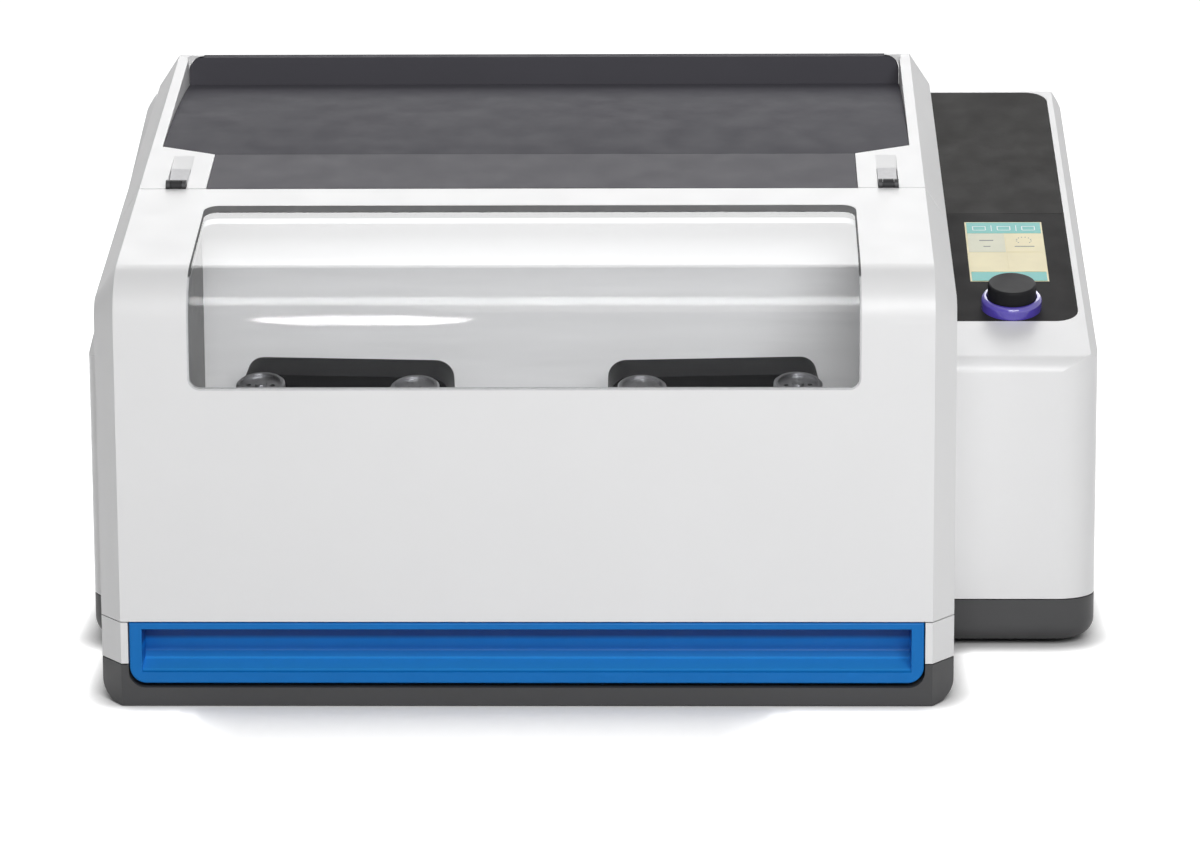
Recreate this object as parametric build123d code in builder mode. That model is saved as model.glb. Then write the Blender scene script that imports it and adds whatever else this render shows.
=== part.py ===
from build123d import *
from math import atan, cos, hypot, radians, sin, tan
import os

# A bench mixer mill: a hood whose lid lifts off a grinding chamber, and a wider rear block with the drive.
# The frame: X to the right, front facing -Y, Z up, the origin on the bench under the middle of the case.
# Pieces are drawn in x from the middle of the hood, y back from its front face and z up from the bench.

# Overall size: the hood's half width and depth, and how far the rear block stands out on the left and right
hood_half = 280.5
left_step = 24.5
control_w = 104.5
mill_d = 585
mill_h = 375
hood_back = 432.8

# Hood: flat front, round nose, sloped roof and bevelled sides
hood_bevel_w = 15
hood_bevel_n = 22
nose_z = 283
nose_r = 36
hood_wall = 4
lid_z = 57
seam_y = 164
seam_gap = 1.5

# Rear block: upright walls, rounded corners and a sloped deck
rear_y = 155
rear_r = 28
rear_front_z = 200
deck_slope = 17
rear_wall = 5
rear_nose_r = 12
rear_skim = 0.05
rear_back_r = 10
rim_bevel = 6
rear_seam_z = 34

# Base pan
pan_floor = 4
front_pan_z = 0.5
rear_pan_z = 4
pan_corner_r = 13
pan_wall = 4
cheek_z = 28
seam = 0.8

# Window in the lid
window_side = 62.5
window_low = 211
window_back = 133
window_low_r = 8
window_back_r = 10
window_t = 4
window_sink = 0.6
gasket_w = 1.2
gasket_top = 11
frame_out = 8
frame_in = 0.6
frame_t = 3.2

# Blue lid handle
handle_side = 20.5
handle_low = 15.5
handle_d = 30
handle_r = 11
handle_gap = 0.8
handle_drop = 3
scoop_side_w = 8.2
scoop_low = 23.5
scoop_high = 52.3
tongue_t = 4
tongue_h = 18

# Grinding chamber
casing_inset = 9
casing_t = 3
chamber_side_w = 54.5
chamber_back = 186
liner_t = 2
mouth_low = 112
mouth_back = 146
chamber_floor = 61
casing_low = 58
seal_w = 5
seal_play = 0.5

# Lid hinges, one in a slot of each roof tab
hinge_in = 39.5
hinge_behind = 5
hinge_pin_r = 2
hinge_boss_r = 4.2
lever_room = 3
hinge_play = 0.05
ear_t = 2.8
boss_half = 3.6
ear_gap = 0.4
leaf_half = 6.5
slot_w = 14.2
slot_len = 42
slot_ramp_l = 20
slot_ramp_d = 2.8

# Roof: white tabs and side strips round a dark scooped panel
tab_w = 60.1
tab_back = 229
strip_w = 22.3
strip_from = 244.5
rim_t = 7.8
rim_h = 21
panel_t = 3
panel_gap = 0.4
rim_r = 11

# Deck plates and the controls on them
deck_left = 7
deck_right = 10.2
deck_step = 57
deck_back = 13
deck_r = 16
deck_t = 3
ledge_w = 6
control_l = 161
display_at = 103
display_w = 55
display_l = 94
display_t = 6
display_lap = 3
dial_at = 20.8
dial_left = 1.3
control_off = 2.65
dial_r = 16.7
dial_h = 18.5
ring_r = 21
ring_h = 8.5
ring_gap = 0.9
shaft_r = 3
press_travel = 0.8

# Chassis and feet
chassis_z = 8
chassis_t = 6
chassis_in = 15
foot_r = 19
foot_play = 1

# Swing-arm drive
arm_play = 6
arm_y = 260
swing = 5.6
tail_l = 70
arm_z = 145
arm_t = 30
arm_w = 50
hub_r = 32
hub_z = 130
hub_h = 58
arm_shaft_r = 10
run_play = 0.05
frame_low = 98
frame_plate = 12
frame_high = 208
crank_shaft_r = 8
ecc_r = 18
rod_t = 8
rod_low = 178
rod_step = 12
big_end_r = 27
small_end_r = 13
tail_pin_r = 6
rod_clear = 0.5
crank_pulley_r = 45
motor_pulley_r = 25
pulley_z = 62
pulley_h = 20
belt_w = 14
belt_t = 4
belt_gap = 0.3
motor_in = 155
motor_back = 145
motor_r = 55
motor_h = 122

# Clamping stations
station_tilt = 16
seat_y = 112
seat_z = 100
seat_r = 22
clamp_in = 18.5
block_gap = 39.5
block_from = 24
block_to = 50
block_low = 10
block_high = 96.5
block_r = 12
bracket_w = 30
jaw_from = 68
jaw_to = 82
pad_r = 13
pad_t = 5
pad_at = 48
screw_r = 5
grip_r = 16.3
grip_rim = 3
grip_dish = 2
grip_t = 12
grip_at = 90.8

# Rear panel and what is on it
panel_side = 36
panel_low = 48
panel_high = 292
panel_lap = 8
sheet_t = 2
fan_x = 190
fan_z = 170
fan_w = 92
fan_t = 25
inlet_in = 65
inlet_z = 90

# Lid lock
bolt_r = 3.75
bolt_y = 41
bolt_z = 38
striker_t = 6

# Places worked out from the sizes above
rear_left = hood_half + left_step
rear_right = hood_half + control_w
hood_x = (rear_left - rear_right) / 2
front_y = -mill_d / 2
roof_tan = (mill_h - nose_z) / hood_back
roof_cos = cos(atan(roof_tan))
roof_sin = sin(atan(roof_tan))
deck_tan = tan(radians(deck_slope))
deck_cos = cos(radians(deck_slope))
window_half = hood_half - window_side
handle_half = hood_half - handle_side
scoop_half = handle_half - scoop_side_w
chamber_half = hood_half - chamber_side_w
hinge_x = hood_half - hinge_in
tab_inner = hood_half - tab_w
strip_inner = hood_half - strip_w
scoop_back = hood_back - rim_t
scoop_z = mill_h - rim_h
deck_from = rear_y + deck_step
deck_to = mill_d - deck_back
panel_to = deck_from + control_l
control_mid = (hood_half + rear_right - deck_right) / 2 + control_off
display_y = deck_from + display_at
dial_y = deck_from + dial_at
dial_x = control_mid - dial_left
arm_x = chamber_half / 2 - arm_play / 2
block_w = 2 * (arm_x - block_gap)
clamp_pitch = block_w - 2 * clamp_in
motor_x = rear_right - motor_in
motor_y = mill_d - motor_back
inlet_x = rear_right - inlet_in
hinge_y = seam_y + hinge_behind
tilt_sin = sin(radians(station_tilt))
tilt_cos = cos(radians(station_tilt))


def roof_z(y, inset=0):
    """Height of the hood's roof at a place, drawn in by inset."""
    return nose_z + y * roof_tan - inset / roof_cos


def deck_z(y, inset=0):
    """Height of the rear block's deck at a place, drawn in by inset."""
    return rear_front_z + (y - rear_y) * deck_tan - inset / deck_cos


hinge_z = roof_z(hinge_y)
panel_y = mill_d - rear_wall
screw_in = 32
screw_rows = (panel_low + 4, panel_high - 4)
panel_screws = [(x, z) for x in (screw_in - rear_left, rear_right - screw_in) for z in (80, 260)]
panel_screws += [(x, z) for z in screw_rows for x in (-90, 150)]
guard_screws = [(fan_x + dx, fan_z + dz) for dx in (-39.6, 39.6) for dz in (-39.6, 39.6)]
crank_y = arm_y + tail_l * cos(radians(swing))
throw = tail_l * sin(radians(swing))


def plan(z):
    """Workplane for outlines seen from above."""
    return Plane((hood_x, front_y, z))


def side(x):
    """Workplane for outlines seen from the right: y back, z up, extruded towards +X."""
    return Plane(origin=(hood_x + x, front_y, 0), x_dir=(0, 1, 0), z_dir=(1, 0, 0))


def front(y):
    """Workplane for outlines seen from the front: x, z up, extruded towards the front."""
    return Plane(origin=(hood_x, front_y + y, 0), x_dir=(1, 0, 0), z_dir=(0, -1, 0))


def deck(x, y, lift=0):
    """Workplane lying on the sloped deck at a place."""
    s, c = sin(radians(deck_slope)), deck_cos
    point = Vector(hood_x + x, front_y + y, deck_z(y)) + Vector(0, -s, c) * lift
    return Plane(origin=point, x_dir=(1, 0, 0), z_dir=(0, -s, c))


def outline(points, radii=None):
    """A closed outline through points, its corners rounded by radii."""
    with BuildSketch() as sketch:
        with BuildLine():
            FilletPolyline(*points, radius=radii or [0] * len(points), close=True)
        make_face()
    return sketch.sketch


def patch(x, y, radii=None):
    """A rectangle between two places each way."""
    return outline([(x[0], y[0]), (x[1], y[0]), (x[1], y[1]), (x[0], y[1])], radii)


def solid(plane, sketch, length):
    """A sketch set on a workplane and extruded."""
    with BuildPart() as piece:
        with BuildSketch(plane):
            add(sketch)
        extrude(amount=length)
    return piece.part


def block(x, y, z, radii=None):
    """A block between two places each way, its upright edges rounded by radii."""
    return solid(plan(z[0]), patch(x, y, radii), z[1] - z[0])


def bevelled(flat, edge, bevel_w, bevel_n, inset):
    """Where a bevelled side's flat part ends, its outer face, and how far the outline is drawn in there."""
    slant = hypot(bevel_w, bevel_n)
    drawn_in = (bevel_n * (edge - inset - flat) + inset * slant) / bevel_w
    return flat - inset * (slant - bevel_w) / bevel_n, edge - inset, drawn_in


def hood_block(inset, low, back):
    """The hood's outer form, drawn in by inset on every face, from low to the roof, back to a plane."""
    flat, edge, drawn_in = bevelled(hood_half - hood_bevel_w, hood_half, hood_bevel_w, hood_bevel_n, inset)
    with BuildPart() as piece:
        for x, n in ((-edge, drawn_in), (-flat, inset), (flat, inset), (edge, drawn_in)):
            corners = [(n, low), (n, roof_z(n, n)), (back, roof_z(back, n)), (back, low)]
            with BuildSketch(side(x)):
                add(outline(corners, [0, nose_r - n, 0, 0]))
        loft(ruled=True)
    return piece.part


def rear_block(inset, low):
    """The rear block's outer form, drawn in by inset on every face, from low to the deck."""
    right_flat, right, drawn_in = bevelled(rear_right - rim_bevel, rear_right, rim_bevel, rim_bevel, inset)
    left_flat, left, drawn_in = bevelled(rear_left - rim_bevel, rear_left, rim_bevel, rim_bevel, inset)
    with BuildPart() as piece:
        for x, n in ((-left, drawn_in), (-left_flat, inset), (right_flat, inset), (right, drawn_in)):
            near, far = rear_y + n, mill_d - n
            corners = [(near, low), (near, deck_z(near, n)), (far, deck_z(far, n)), (far, low)]
            with BuildSketch(side(x)):
                add(outline(corners, [0, rear_nose_r - n, rear_back_r - n, 0]))
        loft(ruled=True)
        with BuildSketch(plan(low)):
            add(patch((-left, right), (rear_y + inset + rear_skim, mill_d - inset), [rear_r - inset] * 4))
        extrude(amount=mill_h, mode=Mode.INTERSECT)
    return piece.part


def window_cutter(grow, back):
    """The window's opening, grown all round, its rear edge at back, as a form that cuts walls."""
    half = window_half + grow
    bend = nose_r + 4
    low_r, back_r = window_low_r + grow, window_back_r + grow
    with BuildPart() as piece:
        with BuildSketch(front(bend)):
            add(patch((-half, half), (window_low - grow, mill_h), [low_r, low_r, 0, 0]))
        extrude(amount=bend + 1)
        with BuildSketch(plan(nose_z - nose_r)):
            add(patch((-half, half), (bend - 1, back + grow), [0, 0, back_r, back_r]))
        extrude(amount=mill_h - nose_z + nose_r)
    return piece.part


def mirrored(piece):
    """The same piece on the other side of the hood's middle."""
    with BuildPart() as other:
        add(mirror(piece, about=Plane.YZ.offset(hood_x), mode=Mode.PRIVATE))
    return other.part


def rounded_tray(inset, low, high):
    """The rear part of the base pan, its corners and lower edge rounded, drawn in by inset."""
    with BuildPart() as piece:
        with BuildSketch(plan(low)):
            add(patch((-rear_left + inset, rear_right - inset), (rear_y + inset, mill_d - inset),
                      [rear_r - inset] * 4))
        extrude(amount=high - low)
        fillet(piece.faces().sort_by(Axis.Z)[0].edges(), radius=pan_corner_r - inset)
    return piece.part


def hood_plan(inset, back):
    """The hood's outline seen from above, drawn in by inset."""
    flat, edge, drawn_in = bevelled(hood_half - hood_bevel_w, hood_half, hood_bevel_w, hood_bevel_n, inset)
    return outline([(-flat, inset), (flat, inset), (edge, drawn_in), (edge, back), (-edge, back),
                    (-edge, drawn_in)])


def rear(x, y, z):
    """Workplane facing the rear at a place."""
    return Plane(origin=(hood_x + x, front_y + y, z), x_dir=(-1, 0, 0), z_dir=(0, 1, 0))


def under_roof(x, y, depth):
    """Workplane facing down and inwards, at a depth below the hood's roof."""
    down = Vector(0, roof_sin, -roof_cos)
    point = Vector(hood_x + x, front_y + y, roof_z(y)) + down * depth
    return Plane(origin=point, x_dir=(1, 0, 0), z_dir=down)


def fastener(plane, head_r, head_t, shank_r, shank_l):
    """A screw set on a workplane: its head above, its shank below."""
    with BuildPart() as piece:
        with BuildSketch(plane):
            Circle(head_r)
        extrude(amount=head_t)
        with BuildSketch(plane):
            Circle(shank_r)
        extrude(amount=-shank_l)
    return piece.part


def case_screw_form(play):
    """The screws of the rear panel and of the fan's guard, or their holes with a play."""
    with BuildPart() as piece:
        for x, z in panel_screws:
            add(fastener(rear(x, mill_d - 2, z), 3.2 + play, 1.8 + 2 * play, 1.9 + play, 6))
        for x, z in guard_screws:
            add(fastener(rear(x, panel_y + 2, z), 3.2 + play, 1.8, 1.5 + play, 22))
    return piece.part


def lid_screw_form(play):
    """The flush screws that hold the handle's tongue and the hinge plates to the lid, or their holes."""
    with BuildPart() as piece:
        for x in (52 - handle_half, -70, 70, handle_half - 52):
            add(fastener(rear(x, 6.7, 66), 3.4 + play, 1.4 + 2 * play, 1.7 + play, 5))
        for x in (-hinge_x - 5.5, hinge_x + 5.5):
            for y in (126, 144):
                add(fastener(under_roof(x, y, 5.9), 3.4 + play, 1.4 + 2 * play, 1.7 + play, 4.2))
    return piece.part


pieces = {}

# Base pan: a dark tray with a bevelled front part and a wider rounded rear part
pocket_half = handle_half + handle_gap
pocket_z = handle_low - handle_drop
pocket_d = handle_d + 4
foot_in = 40
feet_at = [(x, 60) for x in (-hood_half + foot_in + 15.5, hood_half - foot_in - 15.5)]
feet_at += [(x, y) for x in (foot_in - rear_left, rear_right - foot_in)
            for y in (rear_y + foot_in + 20, mill_d - foot_in)]
with BuildPart() as base_pan:
    with BuildSketch(plan(front_pan_z)):
        add(hood_plan(0, rear_y + rear_r))
    extrude(amount=cheek_z - front_pan_z)
    with BuildSketch(front(rear_y + rear_r)):
        add(patch((-hood_half, hood_half), (front_pan_z, cheek_z), [pan_corner_r, pan_corner_r, 0, 0]))
    extrude(amount=rear_y + rear_r, mode=Mode.INTERSECT)
    with BuildSketch(front(pocket_d)):
        add(patch((-pocket_half, pocket_half), (pocket_z, cheek_z + 1), [handle_r] * 2 + [0, 0]))
    extrude(amount=pocket_d, mode=Mode.SUBTRACT)
    add(rounded_tray(0, rear_pan_z, rear_seam_z))
    with BuildSketch(plan(front_pan_z + pan_floor)):
        add(hood_plan(pan_wall, rear_y + rear_r))
        add(patch((-pocket_half - pan_wall, pocket_half + pan_wall), (0, pocket_d + pan_wall)),
            mode=Mode.SUBTRACT)
    extrude(amount=rear_seam_z, mode=Mode.SUBTRACT)
    with BuildSketch(plan(front_pan_z + pan_floor)):
        add(patch((-pocket_half + handle_r, pocket_half - handle_r), (pan_wall, pocket_d + pan_wall)))
    extrude(amount=pocket_z - front_pan_z - 2 * pan_floor, mode=Mode.SUBTRACT)
    with BuildSketch(plan(pocket_z)):
        add(patch((-pocket_half, pocket_half), (pocket_d - 1, pocket_d + pan_wall + 1)))
    extrude(amount=rear_seam_z, mode=Mode.SUBTRACT)
    add(rounded_tray(pan_wall, rear_pan_z + pan_floor, rear_seam_z + 1), mode=Mode.SUBTRACT)
    with BuildSketch(plan(0)):
        with Locations(feet_at):
            Circle(foot_r + foot_play)
    extrude(amount=rear_pan_z + pan_floor, mode=Mode.SUBTRACT)
pieces["base_pan"] = base_pan

# Rubber feet through the pan's floor, under the chassis plate
with BuildPart() as feet:
    with BuildSketch(plan(0)):
        with Locations(feet_at):
            Circle(foot_r - 1.5)
    extrude(amount=chassis_z, taper=-8)
    with Locations(plan(0)):
        with Locations(feet_at):
            Hole(4, depth=chassis_z - 3)
pieces["feet"] = feet

# Chassis plate of folded steel that carries everything
with BuildPart() as chassis_plate:
    with BuildSketch(plan(chassis_z)):
        add(patch((-hood_half + 20, hood_half - 20), (pocket_d + pan_wall + 2, rear_y + 30)))
        add(patch((-rear_left + chassis_in, rear_right - chassis_in),
                  (rear_y + chassis_in, mill_d - chassis_in), [rear_r - chassis_in] * 4))
    extrude(amount=chassis_t)
    with Locations(plan(chassis_z)):
        with Locations([(-180, mill_d - 85), (120, mill_d - 45), (rear_right - 85, rear_y + 175)]):
            Hole(14)
pieces["chassis_plate"] = chassis_plate

# White lower cheeks beside the handle, closed on top and towards the handle
cheek_top = lid_z - seam
cheek_low = cheek_z + seam


def cheek_plan(inset):
    """A cheek seen from above: a corner block in front and a narrow wall running back."""
    inner = pocket_half + inset
    return outline([(inner, -1), (hood_half + 1, -1), (hood_half + 1, rear_y - seam_gap),
                    (hood_half - 14 + inset, rear_y - seam_gap), (hood_half - 14 + inset, pocket_d - inset),
                    (inner, pocket_d - inset)])


def cheek(inset, low, high):
    """One cheek's form on the right, drawn in by inset."""
    with BuildPart() as piece:
        add(hood_block(inset, low, rear_y))
        with BuildSketch(plan(low)):
            add(cheek_plan(inset))
        extrude(amount=high - low, mode=Mode.INTERSECT)
    return piece.part


with BuildPart() as lower_cheeks:
    add(cheek(0, cheek_low, cheek_top))
    add(cheek(hood_wall, cheek_low - 1, cheek_top - casing_t), mode=Mode.SUBTRACT)
    add(mirrored(lower_cheeks.part))
pieces["lower_cheeks"] = lower_cheeks

# Rear housing: the white shell of the rear block, open where the hood passes and under the deck plates
housing_low = rear_seam_z + seam
hood_gap = 1


def deck_plan(inset):
    """The dark deck seen from above, without the hood's hole, drawn in by inset."""
    return patch((-rear_left + deck_left + inset, rear_right - deck_right - inset),
                 (deck_from + inset, deck_to - inset), [deck_r - inset] * 4)


def hood_hole(grow):
    """The hood's footprint, grown all round."""
    return patch((-hood_half - grow, hood_half + grow), (0, hood_back + grow))


def deck_slab(top, bottom, shape):
    """The layer of the deck between two depths and inside an outline seen from above."""
    with BuildPart() as piece:
        add(rear_block(top, rear_seam_z))
        add(rear_block(bottom, rear_seam_z - 1), mode=Mode.SUBTRACT)
        with BuildSketch(plan(rear_front_z - rear_nose_r)):
            add(shape)
        extrude(amount=mill_h, mode=Mode.INTERSECT)
    return piece.part


with BuildPart() as rear_housing:
    add(rear_block(0, housing_low))
    add(rear_block(rear_wall, housing_low - 1), mode=Mode.SUBTRACT)
    add(deck_slab(-1, deck_t, deck_plan(0)), mode=Mode.SUBTRACT)
    with BuildSketch(plan(rear_seam_z)):
        add(deck_plan(ledge_w))
        add(hood_hole(hood_gap))
    extrude(amount=mill_h, mode=Mode.SUBTRACT)
    with BuildSketch(front(mill_d + 1)):
        add(patch((-rear_left + panel_side, rear_right - panel_side),
                  (panel_low + panel_lap, panel_high - panel_lap), [6] * 4))
    extrude(amount=rear_wall + 2, mode=Mode.SUBTRACT)
    add(case_screw_form(0.1), mode=Mode.SUBTRACT)
pieces["rear_housing"] = rear_housing

# Dark deck plate round the hood, and the control plate in front of it on the right
control_x = (hood_half + hood_gap + panel_gap, rear_right)
with BuildPart() as deck_cover:
    add(deck_slab(0, deck_t, deck_plan(panel_gap)))
    with BuildSketch(plan(rear_seam_z)):
        add(hood_hole(hood_gap + panel_gap))
        add(patch(control_x, (rear_y, panel_to)))
    extrude(amount=mill_h, mode=Mode.SUBTRACT)
pieces["deck_cover"] = deck_cover

with BuildPart() as control_panel:
    add(deck_slab(0, deck_t, deck_plan(panel_gap)))
    with BuildSketch(plan(rear_seam_z)):
        add(patch(control_x, (rear_y, panel_to - panel_gap)))
    extrude(amount=mill_h, mode=Mode.INTERSECT)
    with BuildSketch(deck(control_mid, display_y, 1)):
        Rectangle(display_w + panel_gap, display_l + panel_gap)
    extrude(amount=-deck_t - 2, mode=Mode.SUBTRACT)
    with Locations(deck(dial_x, dial_y, 1)):
        Hole(shaft_r + 2, depth=deck_t + 2)
pieces["control_panel"] = control_panel

# Display, flush in the control plate
with BuildPart() as display:
    with BuildSketch(deck(control_mid, display_y, -0.2)):
        Rectangle(display_w, display_l)
    extrude(amount=-display_t)
    with BuildSketch(deck(control_mid, display_y, -deck_t)):
        Rectangle(display_w + 2 * display_lap, display_l + 2 * display_lap)
    extrude(amount=-display_t)
pieces["display"] = display

# Light ring round the dial
with BuildPart() as light_ring:
    with BuildSketch(deck(dial_x, dial_y)):
        Circle(ring_r)
        Circle(dial_r + ring_gap, mode=Mode.SUBTRACT)
    extrude(amount=ring_h)
    fillet(light_ring.faces().sort_by(Axis.Z)[-1].outer_wire().edges(), radius=3)
pieces["light_ring"] = light_ring

# Encoder under the control plate, its sprung shaft and the dial
bush_r = shaft_r + 1.8
with BuildPart() as encoder:
    with BuildSketch(deck(dial_x, dial_y, -deck_t)):
        Rectangle(14, 14)
    extrude(amount=-9)
    with BuildSketch(deck(dial_x, dial_y, -deck_t)):
        Circle(bush_r)
    extrude(amount=deck_t + 3)
    with Locations(deck(dial_x, dial_y, 3)):
        Hole(shaft_r + run_play, depth=deck_t + 11)
pieces["encoder"] = encoder

with BuildPart() as encoder_shaft:
    with BuildSketch(deck(dial_x, dial_y, -8)):
        Circle(shaft_r)
    extrude(amount=8 + dial_h - 4)
pieces["encoder_shaft"] = encoder_shaft

dial_lift = press_travel + 0.4
with BuildPart() as dial:
    with BuildSketch(deck(dial_x, dial_y, dial_lift)):
        Circle(dial_r)
    extrude(amount=dial_h - dial_lift)
    fillet(dial.faces().sort_by(Axis.Z)[-1].edges(), radius=1.6)
    with BuildSketch(deck(dial_x, dial_y, dial_lift)):
        Circle(dial_r - 2.5)
        Circle(bush_r + 2, mode=Mode.SUBTRACT)
    extrude(amount=dial_h - dial_lift - 3, mode=Mode.SUBTRACT)
    with BuildSketch(deck(dial_x, dial_y, dial_lift)):
        Circle(bush_r + 0.5)
    extrude(amount=3 + press_travel, mode=Mode.SUBTRACT)
    with BuildSketch(deck(dial_x, dial_y, dial_lift)):
        Circle(shaft_r + run_play)
    extrude(amount=dial_h - dial_lift - 4 + run_play, mode=Mode.SUBTRACT)
pieces["dial"] = dial

# Top cover: the hood's fixed white part behind the seam, with tabs, strips and the edge of the recess
cover_sink = 14
strip_t = 3
cover_front = seam_y + seam_gap / 2
slot_back = seam_y + slot_len
leaf_back = slot_back - 2


def roof_plan(inset):
    """The dark roof panels seen from above, drawn in by inset."""
    return outline([(-tab_inner + inset, seam_y - 9), (tab_inner - inset, seam_y - 9),
                    (tab_inner - inset, tab_back + inset), (strip_inner - inset, strip_from + inset),
                    (strip_inner - inset, hood_back + 1), (-strip_inner + inset, hood_back + 1),
                    (-strip_inner + inset, strip_from + inset), (-tab_inner + inset, tab_back + inset)])


def above_scoop(depth):
    """The space above the scooped panel's surface, or above a surface that deep in it."""
    with BuildSketch() as sketch:
        with BuildLine():
            start = (tab_back - 20, roof_z(tab_back - 20, depth))
            lead = Line(start, (tab_back, roof_z(tab_back, depth)))
            bed = TangentArc(lead @ 1, (scoop_back - depth, scoop_z - depth),
                             tangent=(roof_cos, roof_tan * roof_cos))
            Polyline(bed @ 1, (scoop_back - depth + 2.5, mill_h + 10), (tab_back - 20, mill_h + 10), start)
        make_face()
    return sketch.sketch


def rim_corners(gap, y):
    """What lies outside the rear rim's rounded upper corners, from a place back to the rim's rear face."""
    with BuildPart() as piece:
        with BuildSketch(front(hood_back)):
            add(patch((-strip_inner - 1, strip_inner + 1), (mill_h - 2 * rim_r, mill_h)))
            add(patch((-strip_inner + gap, strip_inner - gap), (mill_h - 3 * rim_r, mill_h),
                      [0, 0, rim_r, rim_r]), mode=Mode.SUBTRACT)
        extrude(amount=hood_back - y)
    return piece.part


with BuildPart() as recess_walls:
    add(hood_block(0, rear_seam_z, hood_back))
    with BuildSketch(plan(scoop_z - 40)):
        add(patch((strip_inner, strip_inner + strip_t), (strip_from + 2, hood_back)))
        add(patch((-strip_inner - strip_t, -strip_inner), (strip_from + 2, hood_back)))
    extrude(amount=mill_h, mode=Mode.INTERSECT)
    with BuildSketch(side(-hood_half)):
        add(outline([(0, 0), (0, roof_z(0, panel_t + 8)), (tab_back, roof_z(tab_back, panel_t + 8)),
                     (scoop_back, scoop_z - panel_t - 4), (hood_back + 1, scoop_z - panel_t - 4),
                     (hood_back + 1, 0)]))
    extrude(amount=2 * hood_half, mode=Mode.SUBTRACT)
with BuildPart() as top_cover:
    add(hood_block(0, rear_seam_z, hood_back))
    add(hood_block(hood_wall, rear_seam_z - 1, hood_back - hood_wall), mode=Mode.SUBTRACT)
    with BuildSketch(side(-hood_half)):
        add(patch((-1, cover_front), (0, mill_h)))
        add(outline([(cover_front - 1, 0), (cover_front - 1, deck_z(rear_y, cover_sink)),
                     (hood_back + 1, deck_z(hood_back + 1, cover_sink)), (hood_back + 1, 0)]))
    extrude(amount=2 * hood_half, mode=Mode.SUBTRACT)
    with BuildSketch(plan(nose_z)):
        add(roof_plan(0))
    extrude(amount=mill_h, mode=Mode.SUBTRACT)
    with BuildSketch(plan(nose_z)):
        with Locations((-hinge_x, seam_y), (hinge_x, seam_y)):
            Rectangle(slot_w, 2 * slot_len)
    extrude(amount=mill_h, mode=Mode.SUBTRACT)
    for x in (-hinge_x, hinge_x):
        with BuildSketch(side(x - slot_w / 2)):
            add(outline([(slot_back - 1, roof_z(slot_back, slot_ramp_d)),
                         (slot_back + slot_ramp_l, roof_z(slot_back + slot_ramp_l)),
                         (slot_back + slot_ramp_l, mill_h), (slot_back - 1, mill_h)]))
        extrude(amount=slot_w, mode=Mode.SUBTRACT)
    add(recess_walls.part)
    add(rim_corners(0, scoop_back))
    add(block((-strip_inner - 1, strip_inner + 1), (hood_back - hood_wall, hood_back),
              (deck_z(hood_back, cover_sink), scoop_z - panel_t - 1)))
pieces["top_cover"] = top_cover

# Dark strip between the tabs and the dark scooped panel behind it
with BuildPart() as seam_strip:
    add(hood_block(0, rear_seam_z, tab_back - panel_gap / 2))
    add(hood_block(panel_t, rear_seam_z - 1, tab_back), mode=Mode.SUBTRACT)
    with BuildSketch(plan(nose_z)):
        add(patch((-tab_inner + panel_gap, tab_inner - panel_gap), (cover_front, tab_back)))
    extrude(amount=mill_h, mode=Mode.INTERSECT)
pieces["seam_strip"] = seam_strip

with BuildPart() as top_panel:
    add(hood_block(0, rear_seam_z, hood_back))
    with BuildSketch(plan(scoop_z - 60)):
        add(roof_plan(panel_gap))
    extrude(amount=mill_h, mode=Mode.INTERSECT)
    with BuildSketch(plan(scoop_z - 60)):
        add(patch((-hood_half, hood_half), (0, tab_back + panel_gap / 2)))
    extrude(amount=mill_h, mode=Mode.SUBTRACT)
    with BuildSketch(side(-hood_half)):
        add(above_scoop(0))
    extrude(amount=2 * hood_half, mode=Mode.SUBTRACT)
    with BuildSketch(side(-hood_half)):
        add(outline([(tab_back, 0), (tab_back, roof_z(tab_back, panel_t)),
                     (tab_back + 60, roof_z(tab_back + 60, panel_t) - 2),
                     (scoop_back, scoop_z - panel_t - 1), (hood_back + 1, scoop_z - panel_t - 1),
                     (hood_back + 1, 0)]))
    extrude(amount=2 * hood_half, mode=Mode.SUBTRACT)
    add(rim_corners(panel_gap, scoop_back - 1), mode=Mode.SUBTRACT)
pieces["top_panel"] = top_panel

# Chamber casing: a moulded inner shell under the lid, with the mouth of the grinding chamber
casing_back = chamber_back + liner_t + casing_t
post_r = 9
post_in = 14
posts_at = [(x, y) for y in (60, 172) for x in (-chamber_half - post_in, chamber_half + post_in)] + [(0, 172)]
arm_hole_half = 36
arm_hole_z = (hub_z + 9, hub_z + hub_h - 9)
spring_x = hinge_x
spring_y = leaf_back - 6
spring_low = 196
spring_t = 6


def chamber_side(inset, low):
    """The chamber's outline from the side: under the roof, its lower front corner cut away for the handle."""
    front_in = casing_inset + inset
    return outline([(front_in, low + 22), (front_in, roof_z(front_in, front_in)),
                    (casing_back - inset, roof_z(casing_back - inset, front_in)), (casing_back - inset, low),
                    (front_in + 25, low)], [4, nose_r - front_in, 0, 0, 4])


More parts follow.
